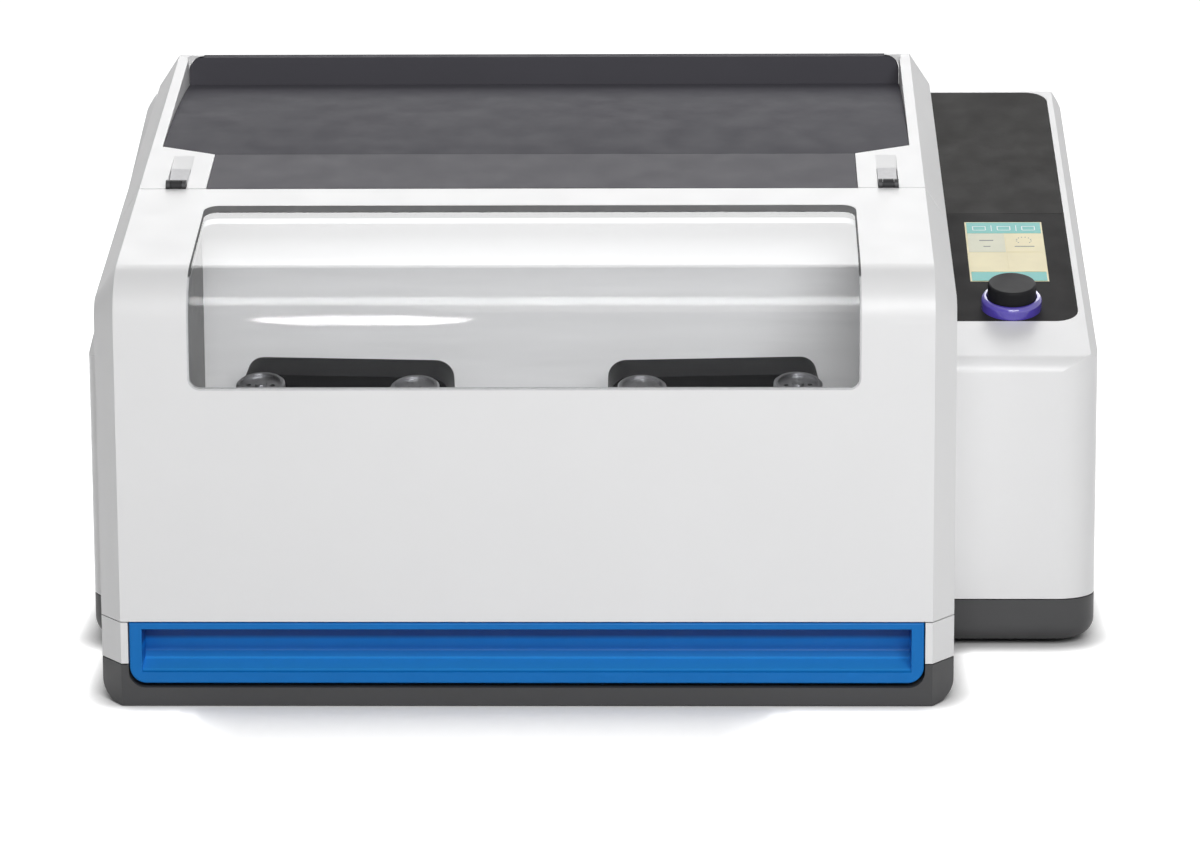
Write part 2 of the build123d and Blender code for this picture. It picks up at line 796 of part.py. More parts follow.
with BuildPart() as casing_hollow:
    add(hood_block(casing_inset + casing_t, casing_low, casing_back - casing_t))
    with BuildSketch(side(-hood_half)):
        add(chamber_side(casing_t, casing_low + casing_t))
    extrude(amount=2 * hood_half, mode=Mode.INTERSECT)
with BuildPart() as mouth:
    with BuildSketch(front(nose_r + 4)):
        add(patch((-chamber_half, chamber_half), (mouth_low, mill_h), [6, 6, 0, 0]))
    extrude(amount=nose_r + 5)
    with BuildSketch(plan(nose_z - nose_r)):
        add(patch((-chamber_half, chamber_half), (nose_r + 3, mouth_back), [0, 0, 6, 6]))
    extrude(amount=mill_h)
with BuildPart() as chamber_casing:
    add(hood_block(casing_inset, casing_low, casing_back))
    with BuildSketch(side(-hood_half)):
        add(chamber_side(0, casing_low))
    extrude(amount=2 * hood_half, mode=Mode.INTERSECT)
    add(casing_hollow.part, mode=Mode.SUBTRACT)
    add(mouth.part, mode=Mode.SUBTRACT)
    with BuildSketch(plan(nose_z - lever_room)):
        with Locations((-hinge_x, casing_back), (hinge_x, casing_back)):
            Rectangle(slot_w + 2, 2 * (casing_back - hinge_y + 18))
    extrude(amount=mill_h, mode=Mode.SUBTRACT)
    with BuildSketch(front(casing_back + 1)):
        add(patch((-arm_x - arm_hole_half, -arm_x + arm_hole_half), arm_hole_z, [5] * 4))
        add(patch((arm_x - arm_hole_half, arm_x + arm_hole_half), arm_hole_z, [5] * 4))
    extrude(amount=casing_t + 2, mode=Mode.SUBTRACT)
    with BuildSketch(plan(chassis_z + chassis_t)):
        with Locations(posts_at):
            Circle(post_r)
    extrude(amount=casing_low - chassis_z - chassis_t)
    with BuildSketch(plan(spring_low - spring_t)):
        add(patch((spring_x - 8, spring_x + 8), (casing_back, spring_y + 9)))
        add(patch((-spring_x - 8, -spring_x + 8), (casing_back, spring_y + 9)))
    extrude(amount=spring_t)
pieces["chamber_casing"] = chamber_casing

# Chamber liner: a sheet steel tub inside the casing
liner_half = chamber_half + liner_t
with BuildPart() as chamber_liner:
    with BuildSketch(side(-liner_half)):
        add(chamber_side(casing_t, chamber_floor))
    extrude(amount=2 * liner_half)
    with BuildSketch(side(-chamber_half)):
        add(chamber_side(casing_t + liner_t, chamber_floor + liner_t))
        add(outline([(0, mouth_low), (0, mill_h + 20), (casing_back - casing_t - liner_t, mill_h + 20),
                     (casing_back - casing_t - liner_t, chamber_floor + 60), (60, mouth_low)]))
    extrude(amount=2 * chamber_half, mode=Mode.SUBTRACT)
    with BuildSketch(front(casing_back)):
        add(patch((-arm_x - arm_hole_half, -arm_x + arm_hole_half), arm_hole_z, [5] * 4))
        add(patch((arm_x - arm_hole_half, arm_x + arm_hole_half), arm_hole_z, [5] * 4))
    extrude(amount=casing_t + liner_t + 1, mode=Mode.SUBTRACT)
pieces["chamber_liner"] = chamber_liner

# Rubber seal round the mouth, on the casing and just under the lid
seal_in = 2.5
seal_out = seal_in + seal_w


def seal_cutter(grow):
    """A frame-shaped cutter outside the chamber's mouth."""
    half = chamber_half + grow
    with BuildPart() as piece:
        with BuildSketch(front(nose_r + 4)):
            add(patch((-half, half), (mouth_low - grow, mill_h), [6 + grow, 6 + grow, 0, 0]))
        extrude(amount=nose_r + 5)
        with BuildSketch(plan(nose_z - nose_r)):
            add(patch((-half, half), (nose_r + 3, mouth_back + grow), [0, 0, 6 + grow, 6 + grow]))
        extrude(amount=mill_h)
    return piece.part


with BuildPart() as chamber_seal:
    add(hood_block(hood_wall + seal_play, casing_low, seam_y))
    add(hood_block(casing_inset, casing_low - 1, seam_y + 1), mode=Mode.SUBTRACT)
    add(seal_cutter(seal_out), mode=Mode.INTERSECT)
    add(seal_cutter(seal_in), mode=Mode.SUBTRACT)
pieces["chamber_seal"] = chamber_seal

# Lid shell: front, nose, roof and bevelled sides in one white moulding, with the window's opening
lid_back = seam_y - seam_gap / 2
with BuildPart() as lid_shell:
    add(hood_block(0, lid_z, lid_back))
    add(hood_block(hood_wall, lid_z - 1, lid_back + 1), mode=Mode.SUBTRACT)
    add(window_cutter(0, window_back), mode=Mode.SUBTRACT)
    add(lid_screw_form(0.1), mode=Mode.SUBTRACT)
pieces["lid_shell"] = lid_shell

# Window: one bent sheet, with a rubber gasket round it and a clamping frame behind
window_in = window_sink + window_t
with BuildPart() as window:
    add(hood_block(window_sink, lid_z, lid_back))
    add(hood_block(window_in, lid_z - 1, lid_back + 1), mode=Mode.SUBTRACT)
    add(window_cutter(-gasket_w, window_back - gasket_top + gasket_w), mode=Mode.INTERSECT)
pieces["window"] = window

with BuildPart() as window_gasket:
    add(hood_block(window_sink - 0.3, lid_z, lid_back))
    add(hood_block(window_in, lid_z - 1, lid_back + 1), mode=Mode.SUBTRACT)
    add(window_cutter(0, window_back), mode=Mode.INTERSECT)
    add(window_cutter(-gasket_w, window_back - gasket_top + gasket_w), mode=Mode.SUBTRACT)
pieces["window_gasket"] = window_gasket

with BuildPart() as window_frame:
    add(hood_block(window_in, lid_z, lid_back))
    add(hood_block(window_in + frame_t, lid_z - 1, lid_back + 1), mode=Mode.SUBTRACT)
    add(window_cutter(frame_out, window_back), mode=Mode.INTERSECT)
    add(window_cutter(-frame_in, window_back - gasket_top), mode=Mode.SUBTRACT)
pieces["window_frame"] = window_frame

# Blue handle bar along the lid's lower edge, with a finger scoop and a tongue behind the lid
handle_top = lid_z - seam
tongue_half = handle_half - 14
handle_outline = patch((-handle_half, handle_half), (handle_low, handle_top), [handle_r, handle_r, 0, 0])
scoop_side = outline([(-1, scoop_low - 1), (4, scoop_low + 1), (19, scoop_low + 4), (23, scoop_low + 9),
                      (23, scoop_high - 4), (19, scoop_high + 1), (7, scoop_high + 1), (4, scoop_high - 1.5),
                      (-1, scoop_high)], [0, 3, 3, 3, 3, 2, 1.5, 1, 0])
with BuildPart() as lid_handle:
    with BuildSketch(front(handle_d)):
        add(handle_outline)
    extrude(amount=handle_d)
    fillet(lid_handle.faces().sort_by(Axis.Y)[0].edges(), radius=1.2)
    with BuildSketch(side(-scoop_half)):
        add(scoop_side)
    extrude(amount=2 * scoop_half, mode=Mode.SUBTRACT)
    with BuildSketch(front(hood_wall + 0.2 + tongue_t)):
        add(patch((-tongue_half, tongue_half), (handle_top - 1, lid_z + tongue_h)))
    extrude(amount=tongue_t)
    add(lid_screw_form(0.1), mode=Mode.SUBTRACT)
pieces["lid_handle"] = lid_handle

# Striker plate behind the handle, which the lock's bolt enters
with BuildPart() as lid_striker:
    with BuildSketch(side(-striker_t / 2)):
        add(outline([(handle_d, bolt_z - 14), (handle_d, bolt_z + 14), (handle_d + 6, bolt_z + 14),
                     (bolt_y + 8, bolt_z + 6), (bolt_y + 8, bolt_z - 8), (bolt_y + 4, bolt_z - 12)],
                    [0, 0, 2, 5, 4, 4]))
    extrude(amount=striker_t)
    with BuildSketch(side(-striker_t / 2)):
        with Locations((bolt_y, bolt_z)):
            Circle(bolt_r + 0.6)
    extrude(amount=striker_t, mode=Mode.SUBTRACT)
pieces["lid_striker"] = lid_striker

# Electric lock under the chamber and its sliding bolt
lock_x = striker_t / 2 + 4
with BuildPart() as lock_body:
    with BuildSketch(plan(chassis_z + chassis_t)):
        add(patch((lock_x, lock_x + 58), (pocket_d + 3, pocket_d + 27)))
    extrude(amount=bolt_z + 12 - chassis_z - chassis_t)
    fillet(lock_body.edges().filter_by(Axis.Z), radius=2)
    with BuildSketch(side(lock_x)):
        with Locations((bolt_y, bolt_z)):
            Circle(bolt_r + run_play)
    extrude(amount=40, mode=Mode.SUBTRACT)
pieces["lock_body"] = lock_body

with BuildPart() as lock_bolt:
    with BuildSketch(side(lock_x - 2)):
        with Locations((bolt_y, bolt_z)):
            Circle(bolt_r)
    extrude(amount=32)
    chamfer(lock_bolt.faces().sort_by(Axis.X)[0].edges(), length=1)
pieces["lock_bolt"] = lock_bolt

# Hinge levers on the lid: a boss round the pin, a neck under the seam to a plate, and a leaf back in the slot
plate_back = hinge_y - 16
plate_from = 118
plate_in = (hood_wall + 0.2, hood_wall + 3.4)
leaf_slope = 20
leaf_t = 5


def leaf_top(y):
    """Height of the leaf's top: flush with the roof at the back and sinking towards the seam."""
    return roof_z(leaf_back) - 0.3 - (leaf_back - y) * tan(radians(leaf_slope))


def hinge_lever(x):
    """One lever, its boss centred at x."""
    outward = 1 if x > 0 else -1
    with BuildPart() as piece:
        with BuildSketch(side(x - boss_half)):
            with Locations((hinge_y, hinge_z)):
                Circle(hinge_boss_r)
            add(outline([(plate_back - 3, roof_z(plate_back - 3, plate_in[0])),
                         (lid_back + 0.4, roof_z(lid_back, plate_in[0])), (hinge_y - 3.9, hinge_z),
                         (hinge_y + 3.6, hinge_z - 1), (hinge_y + 3, hinge_z - 9),
                         (hinge_y - 2, hinge_z - 11.5),
                         (plate_back - 3, roof_z(plate_back - 3, plate_in[1] + 0.5))]))
            add(outline([(hinge_y, hinge_z - 2), (hinge_y + 4, leaf_top(hinge_y + 4)),
                         (hinge_y + 20, leaf_top(hinge_y + 20)),
                         (hinge_y + 20, leaf_top(hinge_y + 20) - leaf_t), (hinge_y + 2, hinge_z - 8)]))
        extrude(amount=2 * boss_half)
        with BuildSketch(side(x - leaf_half)):
            add(outline([(hinge_y + 12, leaf_top(hinge_y + 12)), (leaf_back, leaf_top(leaf_back)),
                         (leaf_back, leaf_top(leaf_back) - leaf_t),
                         (hinge_y + 12, leaf_top(hinge_y + 12) - leaf_t)], [0, 1, 1.5, 0]))
        extrude(amount=2 * leaf_half)
        near, far = sorted((x - outward * 7.5, x + outward * 18.5))
        with BuildSketch(side(near)):
            add(outline([(plate_from, roof_z(plate_from, plate_in[0])),
                         (plate_back, roof_z(plate_back, plate_in[0])),
                         (plate_back, roof_z(plate_back, plate_in[1])),
                         (plate_from, roof_z(plate_from, plate_in[1]))]))
        extrude(amount=far - near)
        with BuildSketch(side(x - boss_half)):
            with Locations((hinge_y, hinge_z)):
                Circle(hinge_pin_r + hinge_play)
        extrude(amount=2 * boss_half, mode=Mode.SUBTRACT)
    return piece.part


with BuildPart() as hinge_levers:
    add(hinge_lever(hinge_x))
    add(hinge_lever(-hinge_x))
    add(lid_screw_form(0.1), mode=Mode.SUBTRACT)
pieces["hinge_levers"] = hinge_levers

# Fixed hinge brackets: two ears each, on a bar and a flange that are bolted to the liner
ear_from = boss_half + ear_gap
bar_z = (276, 286)
bar_y = (140, 162)
leg_bend = (hinge_y - 9, hinge_z - 17)


def hinge_bracket(x):
    """One bracket, its ears on both sides of x, its flange on the chamber's side."""
    inward = -1 if x > 0 else 1
    flange = x + inward * (hinge_x - liner_half)
    with BuildPart() as piece:
        for start in (x - ear_from - ear_t, x + ear_from):
            with BuildSketch(side(start)):
                with Locations((hinge_y, hinge_z)):
                    Circle(hinge_boss_r)
                add(outline([(hinge_y - 4.1, hinge_z - 0.5), (hinge_y + 2.2, hinge_z - 3),
                             (leg_bend[0] + 3.5, leg_bend[1]), (bar_y[1], bar_z[1]), (bar_y[1], bar_z[0]),
                             (bar_y[0], bar_z[0]), (bar_y[0] + 4, bar_z[1]), (leg_bend[0] - 3.5, leg_bend[1]),
                             (hinge_y - 4.1, hinge_z - 6.5)]))
            extrude(amount=ear_t)
        near, far = sorted((flange, x - inward * (ear_from + ear_t)))
        with BuildSketch(side(near)):
            add(patch(bar_y, bar_z))
        extrude(amount=far - near)
        near, far = sorted((flange, flange - inward * 3))
        with BuildSketch(side(near)):
            add(patch((bar_y[0] - 8, bar_y[1] + 8), (bar_z[0] - 34, bar_z[1]), [4] * 4))
        extrude(amount=far - near)
        with BuildSketch(side(x - 10)):
            with Locations((hinge_y, hinge_z)):
                Circle(hinge_pin_r)
        extrude(amount=20, mode=Mode.SUBTRACT)
    return piece.part


with BuildPart() as hinge_brackets:
    add(hinge_bracket(hinge_x))
    add(hinge_bracket(-hinge_x))
pieces["hinge_brackets"] = hinge_brackets

with BuildPart() as hinge_pins:
    for x in (-hinge_x, hinge_x):
        with BuildSketch(side(x - ear_from - ear_t)):
            with Locations((hinge_y, hinge_z)):
                Circle(hinge_pin_r)
        extrude(amount=2 * (ear_from + ear_t))
pieces["hinge_pins"] = hinge_pins

# Lid springs that pull the levers' leaves down: one unbroken wire each
spring_wire = 0.8
spring_r = 4.2
spring_turns = 18
spring_high = leaf_top(spring_y) - leaf_t - 0.3


def lid_spring(x):
    """A helix between the casing's ledge and the lever's leaf, with short straight ends."""
    low, high = spring_low + 0.3 + spring_wire, spring_high - spring_wire
    height = high - low - 8
    with BuildPart() as piece:
        with BuildLine() as wire:
            Helix(pitch=height / spring_turns, height=height, radius=spring_r,
                  center=(hood_x + x, front_y + spring_y, low + 4))
        with BuildSketch(Plane(origin=wire.line @ 0, z_dir=wire.line % 0)):
            Circle(spring_wire)
        sweep(is_frenet=True)
        for z, length in ((low - spring_wire, 4.5 + spring_wire), (high - 4.5, 4.5 + spring_wire)):
            with BuildSketch(plan(z)):
                with Locations((x + spring_r, spring_y)):
                    Circle(spring_wire)
            extrude(amount=length)
    return piece.part


with BuildPart() as lid_springs:
    add(lid_spring(spring_x))
    add(lid_spring(-spring_x))
pieces["lid_springs"] = lid_springs
spring_lead = (spring_high - spring_low - 8) / spring_turns
print("lid spring: least gap between turns", round(spring_lead - 2 * spring_wire, 2))

# Drive frame: a lower and an upper plate on pillars, which hold arm shafts, crankshaft and motor
pillar_r = 11
plate_right = rear_right - 80
plate_rear = mill_d - 70
low_pillars = [(-170, 232), (-170, 400), (60, 232), (plate_right - 15, 300),
               (plate_right - 15, plate_rear - 15), (150, plate_rear - 15)]
high_pillars = [(-175, arm_y - 10), (175, arm_y - 10), (-75, crank_y + 58), (75, crank_y + 58)]
crank_seat_r = 16
bearing_h = 8
with BuildPart() as drive_frame:
    with BuildSketch(plan(frame_low)):
        add(outline([(-195, 215), (195, 215), (plate_right, 285), (plate_right, plate_rear),
                     (135, plate_rear), (80, 415), (-195, 415)], [12] * 7))
        with Locations((0, crank_y)):
            Circle(crank_seat_r, mode=Mode.SUBTRACT)
        with Locations((motor_x, motor_y)):
            Circle(motor_pulley_r + 4, mode=Mode.SUBTRACT)
    extrude(amount=frame_plate)
    with BuildSketch(plan(frame_high)):
        add(outline([(-193, 225), (193, 225), (193, 275), (100, 415), (-100, 415), (-193, 275)], [12] * 6))
        with Locations((0, crank_y)):
            Circle(crank_seat_r, mode=Mode.SUBTRACT)
    extrude(amount=frame_plate)
    with BuildSketch(plan(chassis_z + chassis_t)):
        with Locations(low_pillars):
            Circle(pillar_r)
    extrude(amount=frame_low - chassis_z - chassis_t)
    with BuildSketch(plan(frame_low + frame_plate)):
        with Locations(high_pillars):
            Circle(pillar_r)
    extrude(amount=frame_high - frame_low - frame_plate)
    with Locations(plan(frame_high + frame_plate)):
        with Locations([(-arm_x, arm_y), (arm_x, arm_y)]):
            Hole(arm_shaft_r, depth=frame_high + frame_plate - frame_low)
pieces["drive_frame"] = drive_frame

with BuildPart() as arm_shafts:
    with BuildSketch(plan(frame_low)):
        with Locations((-arm_x, arm_y), (arm_x, arm_y)):
            Circle(arm_shaft_r)
    extrude(amount=frame_high + frame_plate - frame_low + 3)
pieces["arm_shafts"] = arm_shafts

with BuildPart() as crank_bearings:
    for z in (frame_low + 2, frame_high + 2):
        with BuildSketch(plan(z)):
            with Locations((0, crank_y)):
                Circle(crank_seat_r)
                Circle(crank_shaft_r + run_play, mode=Mode.SUBTRACT)
        extrude(amount=bearing_h)
pieces["crank_bearings"] = crank_bearings

# Crankshaft with its belt pulley and two opposite eccentrics
with BuildPart() as crankshaft:
    with BuildSketch(plan(pulley_z - 4)):
        with Locations((0, crank_y)):
            Circle(crank_shaft_r)
    extrude(amount=frame_high + frame_plate + 4 - pulley_z + 4)
    with BuildSketch(plan(pulley_z)):
        with Locations((0, crank_y)):
            Circle(crank_pulley_r)
    extrude(amount=pulley_h)
    with BuildSketch(plan(pulley_z + (pulley_h - belt_w) / 2 - 0.5)):
        with Locations((0, crank_y)):
            Circle(crank_pulley_r + 1)
            Circle(crank_pulley_r - belt_t, mode=Mode.SUBTRACT)
    extrude(amount=belt_w + 1, mode=Mode.SUBTRACT)
    for level, reach in ((0, throw), (1, -throw)):
        with BuildSketch(plan(rod_low + level * rod_step - 0.5)):
            with Locations((reach, crank_y)):
                Circle(ecc_r)
        extrude(amount=rod_t + 1)
pieces["crankshaft"] = crankshaft


def con_rod(level, reach, tail_x):
    """A rod with a big end round its eccentric and a small end over the arm's tail pin."""
    z = rod_low + level * rod_step
    with BuildPart() as piece:
        with BuildSketch(plan(z)):
            with Locations((reach, crank_y)):
                Circle(big_end_r)
            with Locations((tail_x, crank_y)):
                Circle(small_end_r)
            add(patch(sorted((reach, tail_x)), (crank_y - 8, crank_y + 8)))
            with Locations((reach, crank_y)):
                Circle(ecc_r + run_play, mode=Mode.SUBTRACT)
            with Locations((tail_x, crank_y)):
                Circle(tail_pin_r + run_play, mode=Mode.SUBTRACT)
        extrude(amount=rod_t)
    return piece.part


with BuildPart() as conrod_left:
    add(con_rod(0, throw, throw - arm_x))
pieces["conrod_left"] = conrod_left
with BuildPart() as conrod_right:
    add(con_rod(1, -throw, arm_x - throw))
pieces["conrod_right"] = conrod_right

# Motor on the lower plate, its shaft with pulley below the plate, and the belt to the crankshaft
with BuildPart() as motor:
    with BuildSketch(plan(frame_low + frame_plate)):
        with Locations((motor_x, motor_y)):
            Circle(motor_r)
    extrude(amount=motor_h)
    fillet(motor.faces().sort_by(Axis.Z)[-1].edges(), radius=8)
    with Locations(plan(frame_low + frame_plate + 14)):
        with Locations((motor_x, motor_y)):
            with PolarLocations(motor_r, 24):
                Box(6, 2.4, motor_h - 36, align=(Align.CENTER, Align.CENTER, Align.MIN), mode=Mode.SUBTRACT)
    with BuildSketch(plan(frame_low + frame_plate)):
        with Locations((motor_x, motor_y)):
            Circle(crank_shaft_r + run_play)
    extrude(amount=30, mode=Mode.SUBTRACT)
pieces["motor"] = motor

with BuildPart() as motor_pulley:
    with BuildSketch(plan(pulley_z)):
        with Locations((motor_x, motor_y)):
            Circle(motor_pulley_r)
    extrude(amount=pulley_h)
    with BuildSketch(plan(pulley_z + (pulley_h - belt_w) / 2 - 0.5)):
        with Locations((motor_x, motor_y)):
            Circle(motor_pulley_r + 1)
            Circle(motor_pulley_r - belt_t, mode=Mode.SUBTRACT)
    extrude(amount=belt_w + 1, mode=Mode.SUBTRACT)
    with BuildSketch(plan(pulley_z - 3)):
        with Locations((motor_x, motor_y)):
            Circle(crank_shaft_r)
    extrude(amount=frame_low + frame_plate + 28 - pulley_z + 3)
pieces["motor_pulley"] = motor_pulley


def belt_outline(grow):
    """The belt's inner run round both pulleys, grown outwards."""
    big, small = crank_pulley_r - belt_t + belt_gap + grow, motor_pulley_r - belt_t + belt_gap + grow
    span = Vector(motor_x, motor_y - crank_y)
    with BuildSketch() as sketch:
        with Locations((0, crank_y)):
            Circle(big)
        with Locations((motor_x, motor_y)):
            Circle(small)
        angle = Vector(1, 0).get_signed_angle(span)
        lean = Vector(big - small, (span.length**2 - (big - small)**2)**0.5).normalized()
        corners = []
        for sign in (1, -1):
            edge = Vector(lean.X, sign * lean.Y).rotate(Axis.Z, angle)
            near, far = Vector(0, crank_y) + edge * big, Vector(motor_x, motor_y) + edge * small
            corners += [near, far] if sign == 1 else [far, near]
        add(outline([(corner.X, corner.Y) for corner in corners]))
    return sketch.sketch


with BuildPart() as drive_belt:
    with BuildSketch(plan(pulley_z + (pulley_h - belt_w) / 2)):
        add(belt_outline(belt_t))
        add(belt_outline(0), mode=Mode.SUBTRACT)
    extrude(amount=belt_w)
pieces["drive_belt"] = drive_belt

# Swing arms and clamping stations are drawn straight ahead of their shafts, then swung outwards
shield_y = chamber_back - 8


def swung(piece, x):
    """A piece turned outwards about its arm's shaft, whose middle is at x."""
    angle = swing if x > 0 else -swing
    axis = Axis((hood_x + x, front_y + arm_y, 0), (0, 0, 1))
    return piece.rotate(axis, angle)


def block_face(b, t):
    """A point of a station from the side: b back from the clamping axis, t up along it from the seat."""
    return seat_y + b * tilt_cos - t * tilt_sin, seat_z + b * tilt_sin + t * tilt_cos


def station(x, t):
    """Workplane square to the clamping axis at a place across the station, t up from the jar's seat."""
    y, z = block_face(0, t)
    return Plane(origin=(hood_x + x, front_y + y, z), x_dir=(1, 0, 0), z_dir=(0, -tilt_sin, tilt_cos))


def facing(x, b):
    """Workplane on the station's block, seen from the front, b back from the clamping axis."""
    y, z = block_face(b, 0)
    return Plane(origin=(hood_x + x, front_y + y, z), x_dir=(1, 0, 0), z_dir=(0, -tilt_cos, -tilt_sin))


def swing_arm(x, pin_top):
    """An arm: hub round the shaft, beam forward to the block, tail with its pin, and a splash shield."""
    with BuildPart() as piece:
        with BuildSketch(plan(hub_z)):
            with Locations((x, arm_y)):
                Circle(hub_r)
        extrude(amount=hub_h)
        with BuildSketch(plan(arm_z)):
            add(patch((x - arm_w / 2, x + arm_w / 2), (block_face(block_to, 40)[0] + 8, arm_y)))
            add(patch((x - 15, x + 15), (arm_y, arm_y + tail_l)))
            with Locations((x, arm_y + tail_l)):
                Circle(15)
        extrude(amount=arm_t)
        with BuildSketch(plan(arm_z + arm_t)):
            with Locations((x, arm_y + tail_l)):
                Circle(tail_pin_r)
        extrude(amount=pin_top - arm_z - arm_t)
        with BuildSketch(facing(x, block_to)):
            with Locations((0, (arm_z + arm_t / 2 - block_face(block_to, 0)[1]) / tilt_cos)):
                Rectangle(arm_w, arm_t)
        extrude(amount=-14)
        with BuildSketch(front(shield_y)):
            add(patch((x - arm_hole_half - 12, x + arm_hole_half + 12),
                      (arm_hole_z[0] - 6, arm_hole_z[1] + 6), [8] * 4))
        extrude(amount=2)
        with BuildSketch(plan(hub_z)):
            with Locations((x, arm_y)):
                Circle(arm_shaft_r + run_play)
        extrude(amount=hub_h, mode=Mode.SUBTRACT)
    return swung(piece.part, x)


with BuildPart() as swing_arm_left:
    add(swing_arm(-arm_x, rod_low - rod_clear))
pieces["swing_arm_left"] = swing_arm_left
with BuildPart() as swing_arm_right:
    add(swing_arm(arm_x, rod_low + rod_step - rod_clear))
pieces["swing_arm_right"] = swing_arm_right


def clamp_block(x):
    """The black block across the arm's end, with two C-shaped jar brackets in front of it."""
    with BuildPart() as piece:
        with BuildSketch(facing(x, block_from)):
            with Locations((0, (block_low + block_high) / 2)):
                Rectangle(block_w, block_high - block_low)
        extrude(amount=block_from - block_to)
        corners = piece.edges().filter_by(Axis((0, 0, 0), (0, tilt_cos, tilt_sin))).group_by(Axis.Z)[-1]
        fillet(corners, radius=block_r)
        for dx in (-clamp_pitch / 2, clamp_pitch / 2):
            with BuildSketch(side(x + dx - bracket_w / 2)):
                add(outline([block_face(-seat_r, -8), block_face(block_from + 1, -8),
                             block_face(block_from + 1, jaw_to), block_face(-13, jaw_to),
                             block_face(-13, jaw_from), block_face(block_from - 6, jaw_from),
                             block_face(block_from - 6, 0), block_face(-seat_r, 0)],
                            [3, 3, 0, 4, 3, 6, 6, 2]))
            extrude(amount=bracket_w)
            with BuildSketch(station(x + dx, -8)):
                Circle(seat_r)
            extrude(amount=8)
            with BuildSketch(station(x + dx, 0)):
                Circle(seat_r - 4)
            extrude(amount=-2, mode=Mode.SUBTRACT)
            with BuildSketch(station(x + dx, jaw_from - 1)):
                Circle(screw_r + run_play)
            extrude(amount=jaw_to - jaw_from + 2, mode=Mode.SUBTRACT)
    return swung(piece.part, x)


with BuildPart() as clamp_block_left:
    add(clamp_block(-arm_x))
pieces["clamp_block_left"] = clamp_block_left
with BuildPart() as clamp_block_right:
    add(clamp_block(arm_x))
pieces["clamp_block_right"] = clamp_block_right


def clamp_pad(x, dx):
    """The round pad at the end of a clamping screw."""
    with BuildPart() as piece:
        with BuildSketch(station(x + dx, pad_at)):
            Circle(pad_r)
        extrude(amount=pad_t)
        chamfer(piece.edges().group_by(Axis.Z)[0], length=1)
        with BuildSketch(station(x + dx, pad_at + pad_t - 2)):
            Circle(screw_r - 1 + run_play)
        extrude(amount=2, mode=Mode.SUBTRACT)
    return swung(piece.part, x)


def clamp_screw(x, dx):
    """A clamping screw with its round, dished grip."""
    with BuildPart() as piece:
        with BuildSketch(station(x + dx, pad_at + pad_t - 2 + run_play)):
            Circle(screw_r - 1)
        extrude(amount=4)
        with BuildSketch(station(x + dx, pad_at + pad_t + 1)):
            Circle(screw_r)
        extrude(amount=grip_at - pad_at - pad_t)
        with BuildSketch(station(x + dx, grip_at)):
            Circle(grip_r - 4)
        with BuildSketch(station(x + dx, grip_at + grip_t / 2)):
            Circle(grip_r)
        loft()
        with BuildSketch(station(x + dx, grip_at + grip_t / 2)):
            Circle(grip_r)
        extrude(amount=grip_t / 2)
        chamfer(piece.faces().sort_by(Axis.Z)[-1].outer_wire().edges(), length=1.2)
        with BuildSketch(station(x + dx, grip_at + grip_t)):
            Circle(grip_r - grip_rim)
            Circle(4, mode=Mode.SUBTRACT)
        extrude(amount=-grip_dish, mode=Mode.SUBTRACT)
        with BuildSketch(station(x + dx, grip_at + grip_t - grip_dish)):
            with Locations((-8, 0), (8, 0)):
                Circle(1.6)
        extrude(amount=-3, mode=Mode.SUBTRACT)
    return swung(piece.part, x)


clamps = [(-arm_x, -clamp_pitch / 2), (-arm_x, clamp_pitch / 2), (arm_x, -clamp_pitch / 2),
          (arm_x, clamp_pitch / 2)]
for number, (x, dx) in enumerate(clamps, start=1):
    with BuildPart() as clamp_pad_piece:
        add(clamp_pad(x, dx))
    pieces[f"clamp_pad_{number}"] = clamp_pad_piece
    with BuildPart() as clamp_screw_piece:
        add(clamp_screw(x, dx))
    pieces[f"clamp_screw_{number}"] = clamp_screw_piece

# Rear panel of sheet steel inside the housing's back wall, with vents and the cut-outs for what it carries
inlet_w = 28
inlet_h = 48
with BuildPart() as rear_panel:
    with BuildSketch(front(panel_y)):
        add(patch((-rear_left + panel_side - panel_lap, rear_right - panel_side + panel_lap),
                  (panel_low, panel_high), [8] * 4))
        with Locations((fan_x, fan_z)):
            Circle(fan_w / 2 - 4, mode=Mode.SUBTRACT)
        with Locations((inlet_x, inlet_z)):
            Rectangle(inlet_w, inlet_h, mode=Mode.SUBTRACT)
        with Locations((-120, 170)):
            with GridLocations(22, 60, 9, 2):
                SlotOverall(50, 6, rotation=90, mode=Mode.SUBTRACT)
    extrude(amount=sheet_t)
    add(case_screw_form(0.1), mode=Mode.SUBTRACT)
pieces["rear_panel"] = rear_panel

# Fan on the panel, with its wire guard outside
fan_y = panel_y - sheet_t
hub_fan_r = 17
with BuildPart() as fan_frame:
    with BuildSketch(front(fan_y)):
        with Locations((fan_x, fan_z)):
            RectangleRounded(fan_w, fan_w, 5)
            Circle(fan_w / 2 - 3, mode=Mode.SUBTRACT)
    extrude(amount=fan_t)
    with BuildSketch(front(fan_y - fan_t + 3)):
        with Locations((fan_x, fan_z)):
            Circle(hub_fan_r)
            with PolarLocations(fan_w / 4 + 5, 4, start_angle=45):
                Rectangle(fan_w / 2 - 6, 4)
    extrude(amount=3)
    with BuildSketch(front(fan_y - fan_t + 3)):
        with Locations((fan_x, fan_z)):
            Circle(1.5)
    extrude(amount=-18)
    add(case_screw_form(0.1), mode=Mode.SUBTRACT)
pieces["fan_frame"] = fan_frame

